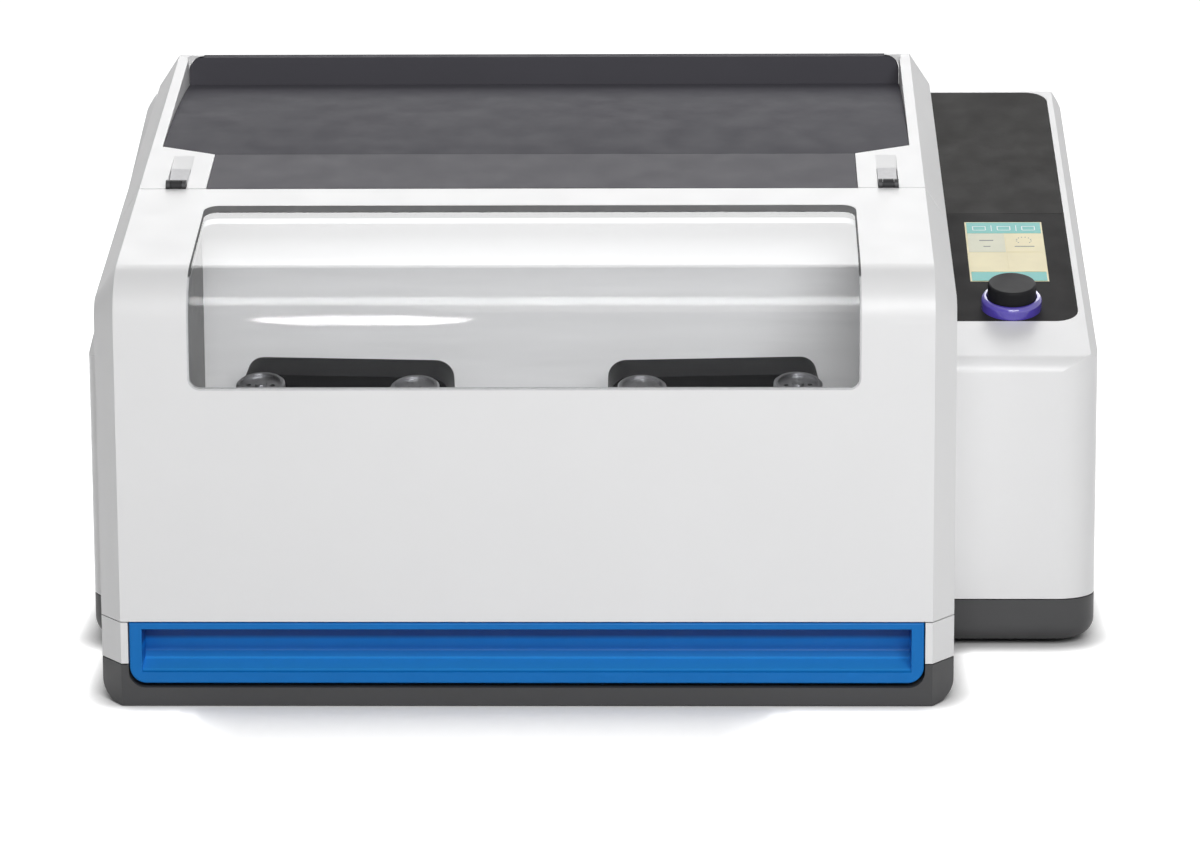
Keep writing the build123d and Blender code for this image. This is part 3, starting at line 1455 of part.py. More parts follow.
with BuildPart() as fan_rotor:
    with BuildSketch(front(fan_y - 3)):
        with Locations((fan_x, fan_z)):
            Circle(hub_fan_r)
            with PolarLocations(hub_fan_r + 11, 7):
                SlotOverall(27, 3, rotation=0)
    extrude(amount=fan_t - 8)
    with BuildSketch(front(fan_y - 3)):
        with Locations((fan_x, fan_z)):
            Circle(1.5 + run_play)
    extrude(amount=fan_t, mode=Mode.SUBTRACT)
pieces["fan_rotor"] = fan_rotor

with BuildPart() as fan_guard:
    with BuildSketch(front(panel_y + 2)):
        with Locations((fan_x, fan_z)):
            for ring in (40, 30, 20, 10):
                Circle(ring + 0.8)
                Circle(ring - 0.8, mode=Mode.SUBTRACT)
            with PolarLocations(31, 4, start_angle=45):
                Rectangle(50, 1.8)
            with PolarLocations(56, 4, start_angle=45):
                Circle(4.5)
    extrude(amount=2)
    add(case_screw_form(0.1), mode=Mode.SUBTRACT)
pieces["fan_guard"] = fan_guard

# Power inlet with its three pins, and the rocker switch above it in the same moulding
rocker_z = inlet_z + 13
with BuildPart() as power_inlet:
    with BuildSketch(front(panel_y + 2)):
        with Locations((inlet_x, inlet_z)):
            RectangleRounded(inlet_w + 6, inlet_h + 6, 2)
    extrude(amount=2)
    with BuildSketch(front(panel_y)):
        with Locations((inlet_x, inlet_z)):
            Rectangle(inlet_w - 0.4, inlet_h - 0.4)
    extrude(amount=22)
    with BuildSketch(front(panel_y + 3)):
        with Locations((inlet_x, inlet_z - 9)):
            Rectangle(24, 18)
        with Locations((inlet_x, rocker_z)):
            Rectangle(19, 13)
    extrude(amount=19, mode=Mode.SUBTRACT)
    with BuildSketch(front(panel_y - 1)):
        with Locations((inlet_x - 7, inlet_z - 11), (inlet_x + 7, inlet_z - 11), (inlet_x, inlet_z - 6)):
            Rectangle(2, 4)
    extrude(amount=16)
pieces["power_inlet"] = power_inlet

rocker_y = panel_y - 5
rocker_tilt = 8
with BuildPart() as rocker_level:
    with BuildSketch(side(inlet_x - 9)):
        with Locations((rocker_y, rocker_z)):
            Circle(5.5)
        add(outline([(rocker_y - 1, rocker_z - 5), (rocker_y + 7, rocker_z - 5), (rocker_y + 5.8, rocker_z),
                     (rocker_y + 7, rocker_z + 5), (rocker_y - 1, rocker_z + 5)], [0, 0.5, 6, 0.5, 0]))
    extrude(amount=18)
with BuildPart() as power_rocker:
    add(rocker_level.part.rotate(Axis((hood_x, front_y + rocker_y, rocker_z), (1, 0, 0)), -rocker_tilt))
pieces["power_rocker"] = power_rocker

# Control board on its standoffs, with the larger components
board_x = (30 - rear_left, 100 - rear_left)
board_y = (mill_d - 145, mill_d - 25)
board_z = 34
caps_x = board_x[1] - 17
with BuildPart() as control_board:
    with BuildSketch(plan(board_z)):
        add(patch(board_x, board_y))
    extrude(amount=1.6)
    with BuildSketch(plan(chassis_z + chassis_t)):
        with Locations([(board_x[0] + 6, board_y[0] + 6), (board_x[1] - 6, board_y[0] + 6),
                        (board_x[0] + 6, board_y[1] - 6), (board_x[1] - 6, board_y[1] - 6)]):
            Circle(3.5)
    extrude(amount=board_z - chassis_z - chassis_t)
    with BuildSketch(plan(board_z + 1.6)):
        add(patch((board_x[0] + 8, board_x[0] + 42), (board_y[0] + 14, board_y[0] + 58)))
        with Locations([(caps_x, board_y[0] + step) for step in (30, 52, 74)]):
            Circle(8)
    extrude(amount=26)
    with BuildSketch(plan(board_z + 1.6)):
        add(patch((board_x[0] + 8, board_x[0] + 48), (board_y[1] - 40, board_y[1] - 14)))
    extrude(amount=12)
pieces["control_board"] = control_board

# Screws of the rear panel and the fan, and those of the lid
with BuildPart() as case_screws:
    add(case_screw_form(0))
pieces["case_screws"] = case_screws

with BuildPart() as lid_screws:
    add(lid_screw_form(0))
pieces["lid_screws"] = lid_screws

os.makedirs("parts", exist_ok=True)
for name, piece in pieces.items():
    piece.part.label = name
    export_step(piece.part, f"parts/{name}.step")
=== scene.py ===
import math

import bpy
from mathutils import Matrix, Vector


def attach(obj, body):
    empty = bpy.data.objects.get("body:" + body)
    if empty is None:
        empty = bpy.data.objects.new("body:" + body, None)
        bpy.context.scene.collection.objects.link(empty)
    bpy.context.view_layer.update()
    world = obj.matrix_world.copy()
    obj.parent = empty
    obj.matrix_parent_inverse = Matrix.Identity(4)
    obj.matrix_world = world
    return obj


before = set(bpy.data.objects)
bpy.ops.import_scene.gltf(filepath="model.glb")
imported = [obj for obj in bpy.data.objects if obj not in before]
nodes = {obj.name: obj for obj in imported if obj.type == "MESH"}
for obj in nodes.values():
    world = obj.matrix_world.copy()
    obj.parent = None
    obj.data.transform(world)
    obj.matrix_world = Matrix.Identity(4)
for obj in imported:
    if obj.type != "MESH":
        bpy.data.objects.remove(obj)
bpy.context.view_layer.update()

scene = bpy.context.scene
scene.view_settings.view_transform = "Standard"

# The CAD's own places: x from the hood's middle, y back from its front, z up from the bench, in millimetres
HOOD_X = -40
FRONT_Y = -292.5
DECK_SLOPE = math.radians(17)
DECK_FRONT = 155
DECK_FRONT_Z = 200


def place(x, y, z):
    """A point given in the hood's millimetres, in the row frame."""
    return Vector(((x + HOOD_X) / 1000, (y + FRONT_Y) / 1000, z / 1000))


def on_deck(x, y, lift):
    """A matrix whose origin lies on the sloped deck, its Z square to it."""
    z = DECK_FRONT_Z + (y - DECK_FRONT) * math.tan(DECK_SLOPE)
    normal = Vector((0, -math.sin(DECK_SLOPE), math.cos(DECK_SLOPE)))
    up = Vector((0, math.cos(DECK_SLOPE), math.sin(DECK_SLOPE)))
    axes = Matrix((Vector((1, 0, 0)), up, normal)).transposed().to_4x4()
    return Matrix.Translation(place(x, y, z) + normal * lift / 1000) @ axes


# Camera, fitted to the photograph's outline: its place in the hood's millimetres, and its turn, fall and
# roll in radians
IMAGE_W = 1200
SENSOR_W = 36
FOCAL_PX = 4814
FAR_CLIP = 50
CAMERA_AT = (117.2, -3051.9, 814.3)
CAMERA_TURN, CAMERA_FALL, CAMERA_ROLL = 0.0223, 0.2023, -0.0051
camera = bpy.data.objects.new("camera", bpy.data.cameras.new("camera"))
scene.collection.objects.link(camera)
scene.camera = camera
camera.matrix_world = (Matrix.Translation(place(*CAMERA_AT))
                       @ Matrix.Rotation(CAMERA_TURN, 4, "Z")
                       @ Matrix.Rotation(math.radians(90) - CAMERA_FALL, 4, "X")
                       @ Matrix.Rotation(CAMERA_ROLL, 4, "Z"))
camera.data.sensor_width = SENSOR_W
camera.data.lens = FOCAL_PX * SENSOR_W / IMAGE_W
camera.data.clip_end = FAR_CLIP


# Materials
WHITE = (1, 1, 1, 1)
NOISE_LOW, NOISE_HIGH = 0.3, 0.7    # most of a noise texture lies between these
FINE_RELIEF = 0.0002                # height of a fine grain, in metres
MIX_A, MIX_B, MIX_RESULT = 6, 7, 2  # the colour sockets of a mix node


def srgb(r, g, b):
    """A colour given as 0 to 255 values of a picture, in scene-linear numbers."""
    out = []
    for value in (r, g, b):
        v = value / 255
        out.append(v / 12.92 if v <= 0.04045 else ((v + 0.055) / 1.055) ** 2.4)
    return (*out, 1.0)


def shade(colour, factor):
    """A colour made lighter or darker."""
    return (*(min(c * factor, 1.0) for c in colour[:3]), 1.0)


class Nodes:
    """The node tree of a material or of the world, with short calls for the nodes used here."""

    def __init__(self, name, world=False):
        self.owner = (bpy.data.worlds if world else bpy.data.materials).new(name)
        self.owner.use_nodes = True
        self.tree = self.owner.node_tree
        self.tree.nodes.clear()
        self.out = self.add("ShaderNodeOutputWorld" if world else "ShaderNodeOutputMaterial")
        self.coords = self.add("ShaderNodeTexCoord").outputs["Object"]

    def add(self, kind, **values):
        """A node, with its settings and inputs by name; _ stands for a space in an input's name."""
        node = self.tree.nodes.new(kind)
        for key, value in values.items():
            if hasattr(node, key):
                setattr(node, key, value)
            else:
                node.inputs[key.replace("_", " ")].default_value = value
        return node

    def link(self, a, b):
        self.tree.links.new(a, b)

    def noise(self, scale, detail, rough, stretch=(1, 1, 1)):
        mapping = self.add("ShaderNodeMapping", Scale=stretch)
        noise = self.add("ShaderNodeTexNoise", Scale=scale, Detail=detail, Roughness=rough)
        self.link(self.coords, mapping.inputs["Vector"])
        self.link(mapping.outputs[0], noise.inputs["Vector"])
        return noise.outputs["Fac"]

    def ramp(self, fac, low, high, start=NOISE_LOW, end=NOISE_HIGH):
        """A colour that goes from low to high between two values."""
        ramp = self.add("ShaderNodeValToRGB")
        first, last = ramp.color_ramp.elements[0], ramp.color_ramp.elements[-1]
        first.position, first.color = start, low
        last.position, last.color = end, high
        self.link(fac, ramp.inputs[0])
        return ramp.outputs["Color"]

    def remap(self, value, start, end, low=0.0, high=1.0):
        """A value carried from one span to another, and held at its ends."""
        remap = self.add("ShaderNodeMapRange", From_Min=start, From_Max=end, To_Min=low, To_Max=high)
        self.link(value, remap.inputs["Value"])
        return remap.outputs["Result"]

    def spread(self, noise, low, high):
        """A noise's values carried to a span of their own."""
        return self.remap(noise, NOISE_LOW, NOISE_HIGH, low, high)

    def value(self, operation, a, b, clamp=False):
        """A number worked out from two others, each a socket or a constant."""
        node = self.add("ShaderNodeMath", operation=operation, use_clamp=clamp)
        for socket, source in zip(node.inputs, (a, b)):
            if isinstance(source, bpy.types.NodeSocket):
                self.link(source, socket)
            else:
                socket.default_value = source
        return node.outputs[0]

    def along(self, vector, axis):
        """One of a vector's three numbers."""
        parts = self.add("ShaderNodeSeparateXYZ")
        self.link(vector, parts.inputs[0])
        return parts.outputs[axis]

    def times(self, a, b):
        """Two colours multiplied."""
        mix = self.add("ShaderNodeMix", data_type="RGBA", blend_type="MULTIPLY", Factor=1.0)
        self.link(a, mix.inputs[MIX_A])
        self.link(b, mix.inputs[MIX_B])
        return mix.outputs[MIX_RESULT]

    def blend(self, fac, first, second):
        """Two shaders mixed."""
        mix = self.add("ShaderNodeMixShader")
        for socket, source in zip(mix.inputs, (fac, first, second)):
            self.link(source, socket)
        return mix.outputs[0]

    def bump(self, height, strength, distance=FINE_RELIEF):
        bump = self.add("ShaderNodeBump", Strength=strength, Distance=distance)
        self.link(height, bump.inputs["Height"])
        return bump.outputs["Normal"]

    def finish(self, shader):
        self.link(shader, self.out.inputs["Surface"])
        return self.owner


def moulded(name, colour, rough, grain=1400, bump=0.05, vary=0.03, specular=0.5, metallic=0.0):
    """Plastic or paint: a fine grain, slight unevenness of colour and of gloss."""
    n = Nodes(name)
    shader = n.add("ShaderNodeBsdfPrincipled", Specular_IOR_Level=specular, Metallic=metallic)
    tone = n.ramp(n.noise(9, 4.0, 0.55), shade(colour, 1 - vary), shade(colour, 1 + vary))
    n.link(tone, shader.inputs["Base Color"])
    n.link(n.spread(n.noise(45, 3.0, 0.6), rough * 0.9, rough * 1.12), shader.inputs["Roughness"])
    n.link(n.bump(n.noise(grain, 2.0, 0.6), bump), shader.inputs["Normal"])
    return n.finish(shader.outputs[0])


def metal(name, colour, rough, scale=600):
    """Machined metal: one fine unevenness in colour, gloss and height."""
    n = Nodes(name)
    shader = n.add("ShaderNodeBsdfPrincipled", Metallic=1.0)
    marks = n.noise(scale, 4.0, 0.65)
    n.link(n.ramp(marks, shade(colour, 0.9), shade(colour, 1.06)), shader.inputs["Base Color"])
    n.link(n.spread(marks, rough * 0.8, rough * 1.25), shader.inputs["Roughness"])
    n.link(n.bump(marks, 0.05), shader.inputs["Normal"])
    return n.finish(shader.outputs[0])


def clear_sheet(name, tint, rough, steepness, gain):
    """Clear plastic that light passes straight through; its outer face has the gloss of both faces."""
    n = Nodes(name)
    clear = n.add("ShaderNodeBsdfTransparent", Color=tint)
    gloss = n.add("ShaderNodeBsdfGlossy", Color=WHITE, Roughness=rough)
    n.link(n.bump(n.noise(14, 2.0, 0.5), 0.02, 0.002), gloss.inputs["Normal"])
    fresnel = n.add("ShaderNodeFresnel", IOR=1.5)
    steep = n.value("POWER", fresnel.outputs[0], steepness)
    both_faces = n.value("MULTIPLY", steep, gain, clamp=True)
    back = n.add("ShaderNodeNewGeometry").outputs["Backfacing"]
    outer = n.value("SUBTRACT", both_faces, back, clamp=True)
    return n.finish(n.blend(outer, clear.outputs[0], gloss.outputs[0]))


def two_tone_and_painted_shade(name, low, high, axis, edge, rough=0.5):
    """Plastic or paint of two colours, parted at a place along an axis of the object at rest; on the hinge
    levers the two colours are real two-tone paint, on the window gasket they are painted light and shade.
    """
    n = Nodes(name)
    shader = n.add("ShaderNodeBsdfPrincipled", Specular_IOR_Level=0.2)
    step = n.remap(n.along(n.coords, axis), edge - 0.0005, edge + 0.0005)
    worn = n.ramp(n.noise(300, 3.0, 0.6), (0.92, 0.92, 0.92, 1), WHITE)
    n.link(n.times(n.ramp(step, low, high, 0.0, 1.0), worn), shader.inputs["Base Color"])
    n.link(n.spread(n.noise(120, 3.0, 0.6), rough * 0.9, rough * 1.1), shader.inputs["Roughness"])
    n.link(n.bump(n.noise(1200, 2.0, 0.6), 0.08), shader.inputs["Normal"])
    return n.finish(shader.outputs[0])


def scooped_with_painted_shade(name, face, hollow, front, rough):
    """Moulded plastic whose hollow, behind the plane front, has painted light and shade by height."""
    n = Nodes(name)
    shader = n.add("ShaderNodeBsdfPrincipled", Specular_IOR_Level=0.25)
    low, high = hollow[0][0], hollow[-1][0]
    painted_shade_levels = n.add("ShaderNodeValToRGB")
    elements = painted_shade_levels.color_ramp.elements
    elements[0].color, elements[-1].color = hollow[0][1], hollow[-1][1]
    for z, colour in hollow[1:-1]:
        elements.new((z - low) / (high - low)).color = colour
    n.link(n.remap(n.along(n.coords, "Z"), low, high), painted_shade_levels.inputs[0])
    mix = n.add("ShaderNodeMix", data_type="RGBA")
    n.link(n.remap(n.along(n.coords, "Y"), front, front + 0.002), mix.inputs["Factor"])
    mix.inputs[MIX_A].default_value = face
    n.link(painted_shade_levels.outputs["Color"], mix.inputs[MIX_B])
    worn = n.ramp(n.noise(60, 4.0, 0.6), (0.95, 0.95, 0.95, 1), WHITE)
    n.link(n.times(mix.outputs[MIX_RESULT], worn), shader.inputs["Base Color"])
    n.link(n.spread(n.noise(45, 3.0, 0.6), rough * 0.9, rough * 1.12), shader.inputs["Roughness"])
    n.link(n.bump(n.noise(1400, 2.0, 0.6), 0.06), shader.inputs["Normal"])
    return n.finish(shader.outputs[0])


def brushed_wall_with_side_shade(name, colour, shade_facing_left, shade_facing_right, rough):
    """Painted sheet with level streaks; the walls that face left or right are darkened with painted shade.
    """
    n = Nodes(name)
    shader = n.add("ShaderNodeBsdfPrincipled")
    normal = n.add("ShaderNodeNewGeometry").outputs["True Normal"]
    sideways = n.remap(n.along(normal, "X"), -1, 1)
    streaks = n.noise(60, 4.0, 0.6, (0.12, 1, 1.6))
    tone = n.ramp(streaks, shade(colour, 0.96), shade(colour, 1.03))
    right_wall_shade = n.ramp(sideways, (shade_facing_left,) * 3 + (1,), WHITE, 0.1, 0.3)
    left_wall_shade = n.ramp(sideways, WHITE, (shade_facing_right,) * 3 + (1,), 0.7, 0.9)
    n.link(n.times(tone, n.times(right_wall_shade, left_wall_shade)), shader.inputs["Base Color"])
    n.link(n.spread(streaks, rough * 0.9, rough * 1.1), shader.inputs["Roughness"])
    n.link(n.bump(streaks, 0.04), shader.inputs["Normal"])
    return n.finish(shader.outputs[0])


def glowing(name, colour, strength=0.1, rough=0.4, coat=0.0):
    """A lit surface behind a clear skin: the screen's fields and the light ring."""
    n = Nodes(name)
    shader = n.add("ShaderNodeBsdfPrincipled", Roughness=rough, Coat_Weight=coat, Coat_Roughness=0.05,
                   Emission_Strength=strength)
    tone = n.ramp(n.noise(60, 2.0, 0.5), shade(colour, 0.96), shade(colour, 1.04))
    n.link(tone, shader.inputs["Base Color"])
    n.link(tone, shader.inputs["Emission Color"])
    return n.finish(shader.outputs[0])


# The handle's front plane, a little behind its face, and the painted light and shade of its scoop by height
# in metres:
# a lit floor, a shaded back and a navy painted shadow under the lip
HANDLE_FRONT = place(0, 1, 0).y
SCOOP_PAINTED_SHADE = [(0.024, srgb(52, 158, 238)), (0.028, srgb(50, 156, 236)), (0.029, srgb(27, 124, 200)),
         (0.0345, srgb(9, 103, 183)), (0.0395, srgb(13, 142, 228)), (0.0425, srgb(32, 86, 158)),
         (0.053, srgb(32, 84, 156))]
WINDOW_BEND = 0.283                   # painted light and shade on the gasket: light below this height, dark above it, in metres
BARREL_BACK = place(0, 175, 0).y      # the hinge levers are dark in front of this place

white = moulded("white_shell", (0.88, 0.88, 0.885, 1), 0.36, bump=0.03, vary=0.008)
base_dark = moulded("base_dark", srgb(79, 79, 80), 0.5, bump=0.08, specular=0.2)
roof_dark = moulded("roof_dark", srgb(84, 83, 89), 0.55, specular=0.03)
strip_grey = moulded("strip_grey", srgb(102, 101, 106), 0.55, specular=0.05)
deck_dark = moulded("deck_dark", srgb(58, 57, 56), 0.6, grain=700, bump=0.25, specular=0.05)
deck_smooth = moulded("deck_smooth", srgb(46, 45, 45), 0.55, specular=0.035)
# the scoop's blues are painted light and shade by height; the face keeps one plain blue
handle_blue = scooped_with_painted_shade("handle_blue", srgb(10, 116, 196), SCOOP_PAINTED_SHADE, HANDLE_FRONT, 0.42)
casing = moulded("casing_grey", (0.82, 0.82, 0.825, 1), 0.45)
block_black = moulded("block_black", srgb(30, 30, 32), 0.5, bump=0.08, specular=0.15)
black_plastic = moulded("black_plastic", srgb(28, 28, 29), 0.35)
dial_black = moulded("dial_black", srgb(34, 34, 36), 0.5, grain=900, bump=0.12, specular=0.1)
rubber = moulded("rubber", srgb(30, 30, 30), 0.8, grain=500, bump=0.3)
# the gasket's two tones are painted light and shade, not the seal's own colour
gasket = two_tone_and_painted_shade("gasket_grey", srgb(214, 214, 216), srgb(97, 97, 98), "Z", WINDOW_BEND, 0.7)
frame_grey = moulded("frame_grey", srgb(228, 228, 230), 0.5)
motor_paint = moulded("motor_paint", srgb(78, 84, 90), 0.45)
rear_sheet = moulded("rear_sheet", srgb(140, 141, 144), 0.45, metallic=0.2)
board_green = moulded("board_green", srgb(34, 110, 62), 0.4)
lever_paint = two_tone_and_painted_shade("lever_paint", srgb(50, 50, 52), srgb(240, 240, 242), "Y", BARREL_BACK)
burnished = metal("burnished_steel", (0.06, 0.06, 0.062, 1), 0.5)
steel = metal("machined_steel", (0.62, 0.62, 0.63, 1), 0.3)
bright = metal("bright_steel", (0.74, 0.74, 0.75, 1), 0.22)
grip_steel = metal("grip_steel", (0.36, 0.36, 0.37, 1), 0.32)
zinc = metal("zinc_steel", (0.58, 0.58, 0.6, 1), 0.4, scale=90)
# painted shade on the liner's side walls: the left wall much darker, the right a little
chamber_white = brushed_wall_with_side_shade("chamber_white", (0.93, 0.93, 0.932, 1), 0.7, 0.08, 0.35)
window_clear = clear_sheet("window_clear", (0.985, 0.987, 0.99, 1), 0.03, steepness=2.5, gain=18.5)
ring_glow = glowing("ring_purple", srgb(84, 70, 172), strength=0.12, rough=0.12, coat=1.0)
screen_cream = glowing("screen_cream", srgb(226, 215, 172))
screen_teal = glowing("screen_teal", srgb(86, 180, 174))
screen_tile = glowing("screen_tile", srgb(206, 206, 182))
screen_light = glowing("screen_light", srgb(214, 228, 228))
screen_ink = glowing("screen_ink", srgb(96, 104, 98), strength=0.05)

GRIPS = [f"clamp_screw_{n}" for n in (1, 2, 3, 4)]
PADS = [f"clamp_pad_{n}" for n in (1, 2, 3, 4)]
FINISHES = {
    white: ["lid_shell", "top_cover", "rear_housing", "lower_cheeks"],
    base_dark: ["base_pan"],
    roof_dark: ["top_panel"],
    strip_grey: ["seam_strip"],
    deck_dark: ["deck_cover"],
    deck_smooth: ["control_panel"],
    handle_blue: ["lid_handle"],
    casing: ["chamber_casing"],
    frame_grey: ["window_frame"],
    block_black: ["clamp_block_left", "clamp_block_right"],
    black_plastic: ["power_inlet", "power_rocker", "fan_frame", "fan_rotor", "lock_body", "encoder"],
    dial_black: ["dial"],
    rubber: ["feet", "chamber_seal", "drive_belt"],
    gasket: ["window_gasket"],
    motor_paint: ["motor"],
    rear_sheet: ["rear_panel"],
    board_green: ["control_board"],
    chamber_white: ["chamber_liner"],
    zinc: ["chassis_plate", "drive_frame"],
    burnished: ["hinge_brackets", "hinge_pins"],
    lever_paint: ["hinge_levers"],
    window_clear: ["window"],
    ring_glow: ["light_ring"],
    screen_cream: ["display"],
    bright: ["case_screws", "lid_screws", "fan_guard"],
    grip_steel: GRIPS,
    steel: ["lid_striker", "lock_bolt", "lid_springs", "encoder_shaft", "arm_shafts",
            "swing_arm_left", "swing_arm_right", "crankshaft", "crank_bearings",
            "conrod_left", "conrod_right", "motor_pulley"] + PADS,
}
for finish, names in FINISHES.items():
    for name in names:
        nodes[name].data.materials.clear()
        nodes[name].data.materials.append(finish)


# Floor and backdrop: white for the camera, and grey for the light that they throw back
FLOOR_REACH = 12
FLOOR_GREY = (0.86, 0.86, 0.86, 1)
SKY_LIGHT = 0.09
# The soft shadow's reach beside the part and in front of the hood, in metres, and how deep it is
SHADOW_NEAR, SHADOW_FAR = 0.022, 0.17
SHADOW_DEPTH = 3.2
SHADOW_SAMPLES = 8
# The place in front of the hood: an axis, where the place ends and where it is whole, in metres
SHADOW_PLACE = [("X", -0.30, -0.19), ("X", 0.17, 0.05), ("Y", -0.27, -0.30)]
SHADOW_EDGE = (0.3, 0.7)


def mesh_object(name, points, faces, material):
    """A mesh from points in the row frame."""
    data = bpy.data.meshes.new(name)
    data.from_pydata([tuple(p) for p in points], [], faces)
    data.materials.append(material)
    made = bpy.data.objects.new(name, data)
    scene.collection.objects.link(made)
    return made


def seen_as(n, plain, shown):
    """Mixes in a shader for what the camera, mirrors and glass see."""
    path = n.add("ShaderNodeLightPath")
    seen = n.value("MAXIMUM", path.outputs["Is Camera Ray"], path.outputs["Is Glossy Ray"])
    seen = n.value("MAXIMUM", seen, path.outputs["Is Transmission Ray"])
    return n.blend(seen, plain, shown)


def floor_finish():
    """A white floor that darkens next to the part, and further out in front of the hood."""
    n = Nodes("floor")
    matt = n.add("ShaderNodeBsdfDiffuse", Color=FLOOR_GREY)
    in_front = 1.0
    for axis, outside, inside in SHADOW_PLACE:
        in_front = n.value("MULTIPLY", in_front, n.remap(n.along(n.coords, axis), outside, inside))
    nearness = n.add("ShaderNodeAmbientOcclusion", samples=SHADOW_SAMPLES)
    n.link(n.remap(in_front, *SHADOW_EDGE, SHADOW_NEAR, SHADOW_FAR), nearness.inputs["Distance"])
    lift = n.add("ShaderNodeEmission")
    n.link(n.value("POWER", nearness.outputs["AO"], SHADOW_DEPTH), lift.inputs["Strength"])
    both = n.add("ShaderNodeAddShader")
    n.link(matt.outputs[0], both.inputs[0])
    n.link(lift.outputs[0], both.inputs[1])
    return n.finish(seen_as(n, matt.outputs[0], both.outputs[0]))


def backdrop():
    """A white surround that gives little light."""
    n = Nodes("world", world=True)
    dim = n.add("ShaderNodeBackground", Color=WHITE, Strength=SKY_LIGHT)
    full = n.add("ShaderNodeBackground", Color=WHITE, Strength=1.0)
    return n.finish(seen_as(n, dim.outputs[0], full.outputs[0]))


corners = [(x * FLOOR_REACH, y * FLOOR_REACH, 0) for x, y in ((-1, -1), (1, -1), (1, 1), (-1, 1))]
floor = mesh_object("floor", corners, [(0, 1, 2, 3)], floor_finish())
scene.world = backdrop()


# Studio lights: places and sizes in metres, power in watts
def softbox(name, where, towards, width, height, power, shape="RECTANGLE", only=()):
    """A studio light, for all pieces or only for those named."""
    lamp = bpy.data.lights.new(name, "AREA")
    lamp.shape = shape
    lamp.size, lamp.size_y, lamp.energy = width, height, power
    made = bpy.data.objects.new(name, lamp)
    scene.collection.objects.link(made)
    made.location = where
    made.rotation_euler = (Vector(towards) - Vector(where)).to_track_quat("-Z", "Y").to_euler()
    if only:
        lit = bpy.data.collections.new(name + "_lit")
        for piece in only:
            lit.objects.link(nodes[piece])
        made.light_linking.receiver_collection = lit


MIDDLE = (0, 0, 0.2)
softbox("top_light", (0.1, 0.1, 2.4), MIDDLE, width=2.6, height=2.2, power=3)
softbox("front_light", (0.5, -2.6, 1.6), MIDDLE, width=1.6, height=1.2, power=49)
softbox("right_light", (2.4, -0.6, 1.4), MIDDLE, width=1.2, height=1.2, power=0.5)
softbox("left_light", (-2.4, -1.0, 1.4), MIDDLE, width=1.2, height=1.2, power=1)
softbox("back_light", (0, 2.2, 1.9), (0, -0.1, 0.35), width=3.4, height=1.5, power=43)
# Two lights that show in the window's bend, as a streak and a level band, and one for the chamber's inside
softbox("streak_light", (-0.3, -2.485, 0.337), (-0.144, -0.292, 0.258), width=0.24, height=0.62, power=36,
        shape="ELLIPSE", only=["window"])
softbox("band_light", (-0.121, -1.951, 1.708), (-0.039, -0.289, 0.269), width=0.9, height=0.66, power=70,
        only=["window"])
softbox("inner_light", (-0.04, -2.4, 1.2), (-0.04, -0.15, 0.2), width=1.2, height=0.8, power=8.5,
        only=["chamber_liner", "chamber_casing"] + GRIPS)


# Screen fields on the display, a generic layout without words; sizes in millimetres from its middle
DISPLAY_X, DISPLAY_Y = 330.3, 315
FIELD_LIFT, FIELD_T, FIELD_EDGE = -0.2, 0.25, 0.08
MARK_LIFT, MARK_LINE = 0.1, 0.7
SCREEN_W = 52.6
TILE_X, TILE_W = 13.3, 26
FIELDS = [
    ("screen_top_bar", 0, 37.4, SCREEN_W, 17, screen_teal),
    ("screen_low_bar", 0, -39.2, SCREEN_W, 13.4, screen_teal),
    ("screen_tile_left", -TILE_X, 13.6, TILE_W, 29.6, screen_tile),
    ("screen_tile_right", TILE_X, 13.6, TILE_W, 29.6, screen_cream),
    ("screen_tile_low_left", -TILE_X, -16.8, TILE_W, 30.2, screen_cream),
    ("screen_tile_low_right", TILE_X, -16.8, TILE_W, 30.2, screen_cream),
]


def slab(name, matrix, width, depth, thickness, material, edge):
    """A thin bevelled plate that stands on a matrix's middle."""
    outline = [(x * width / 2000, y * depth / 2000) for x, y in ((-1, -1), (1, -1), (1, 1), (-1, 1))]
    points = [matrix @ Vector((x, y, z)) for z in (0, thickness / 1000) for x, y in outline]
    sides = [(k, (k + 1) % 4, (k + 1) % 4 + 4, k + 4) for k in range(4)]
    made = mesh_object(name, points, [(3, 2, 1, 0), (4, 5, 6, 7)] + sides, material)
    bevel = made.modifiers.new("bevel", "BEVEL")
    bevel.width = edge / 1000
    bevel.segments = 2
    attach(made, "base")
    return made


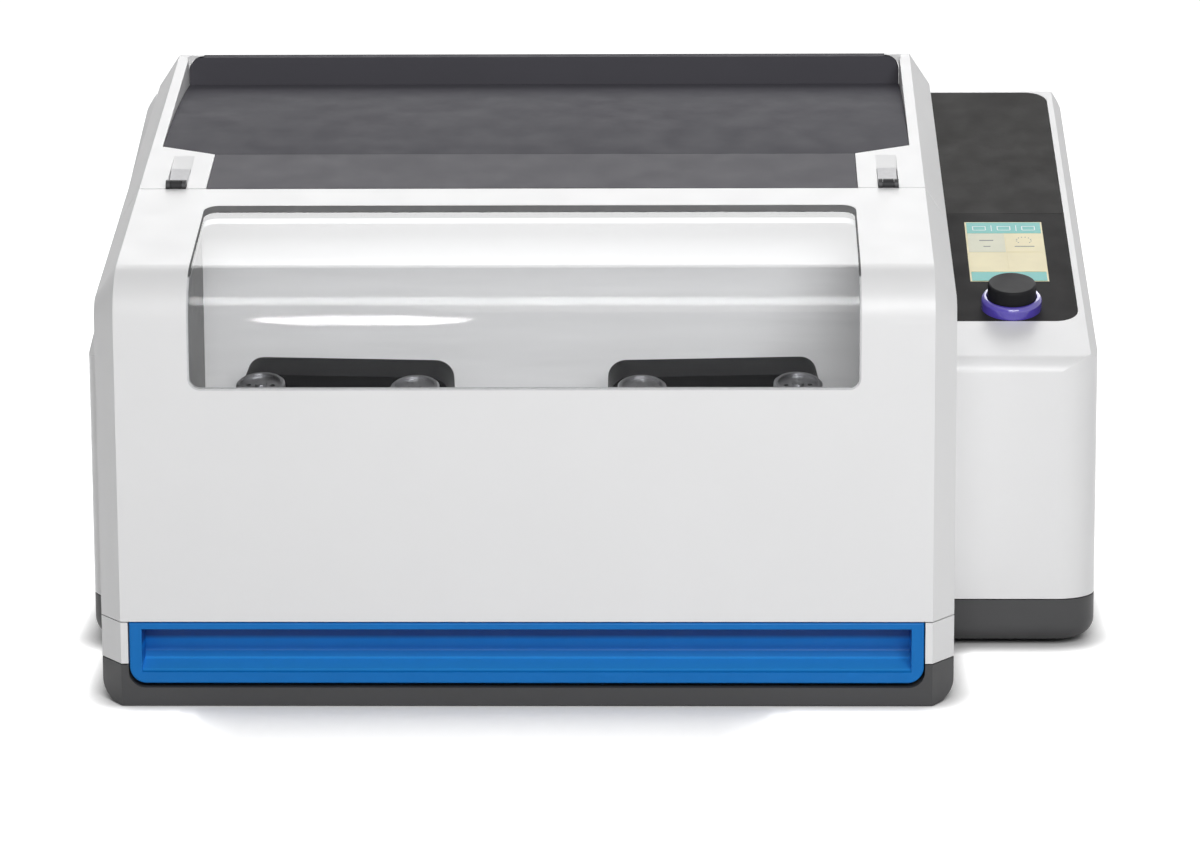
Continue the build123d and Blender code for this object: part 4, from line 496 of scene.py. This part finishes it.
for name, dx, dy, width, height, finish in FIELDS:
    centre = on_deck(DISPLAY_X, DISPLAY_Y, FIELD_LIFT) @ Matrix.Translation((dx / 1000, dy / 1000, 0))
    slab(name, centre, width, height, FIELD_T, finish, FIELD_EDGE)


def marks(name, bars, material):
    """Flat marks on the screen's fields as one mesh: x, y, width and height of each."""
    points, faces = [], []
    for dx, dy, width, height in bars:
        start = len(points)
        for sx, sy in ((-1, -1), (1, -1), (1, 1), (-1, 1)):
            corner = Vector(((dx + sx * width / 2) / 1000, (dy + sy * height / 2) / 1000, 0))
            points.append(on_deck(DISPLAY_X, DISPLAY_Y, MARK_LIFT) @ corner)
        faces.append(tuple(range(start, start + 4)))
    made = mesh_object(name, points, faces, material)
    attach(made, "base")


def frame_bars(x, y, width, height):
    """The four sides of a small frame."""
    return [(x, y + height / 2, width, MARK_LINE), (x, y - height / 2, width, MARK_LINE),
            (x - width / 2, y, MARK_LINE, height), (x + width / 2, y, MARK_LINE, height)]


# Three small frames and two partings on the top bar
BAR_Y = 36.5
SIGN_STEP, SIGN_W, SIGN_H = 17.5, 9, 6
PARTING_X, PARTING_W, PARTING_H = 8.8, 0.6, 9
light_bars = [(-PARTING_X, BAR_Y, PARTING_W, PARTING_H), (PARTING_X, BAR_Y, PARTING_W, PARTING_H)]
for x in (-SIGN_STEP, 0, SIGN_STEP):
    light_bars += frame_bars(x, BAR_Y, SIGN_W, SIGN_H)
marks("screen_marks_light", light_bars, screen_light)

# Dashes on the upper tiles, and an arc of dots on the right one
READING_Y, DASH_Y = 17, 7.5
GAUGE_R, GAUGE_DOTS, DOT = 5.2, 10, 0.9
GAUGE_START, GAUGE_SWEEP = 220, 260
ink_bars = [(-TILE_X, READING_Y, 10, 1.4), (-TILE_X, DASH_Y, 5, 1.2), (TILE_X, DASH_Y, 14, 1.2)]
for k in range(GAUGE_DOTS):
    turn = math.radians(GAUGE_START - k * GAUGE_SWEEP / (GAUGE_DOTS - 1))
    ink_bars.append((TILE_X + GAUGE_R * math.cos(turn), READING_Y + GAUGE_R * math.sin(turn), DOT, DOT))
marks("screen_marks_ink", ink_bars, screen_ink)
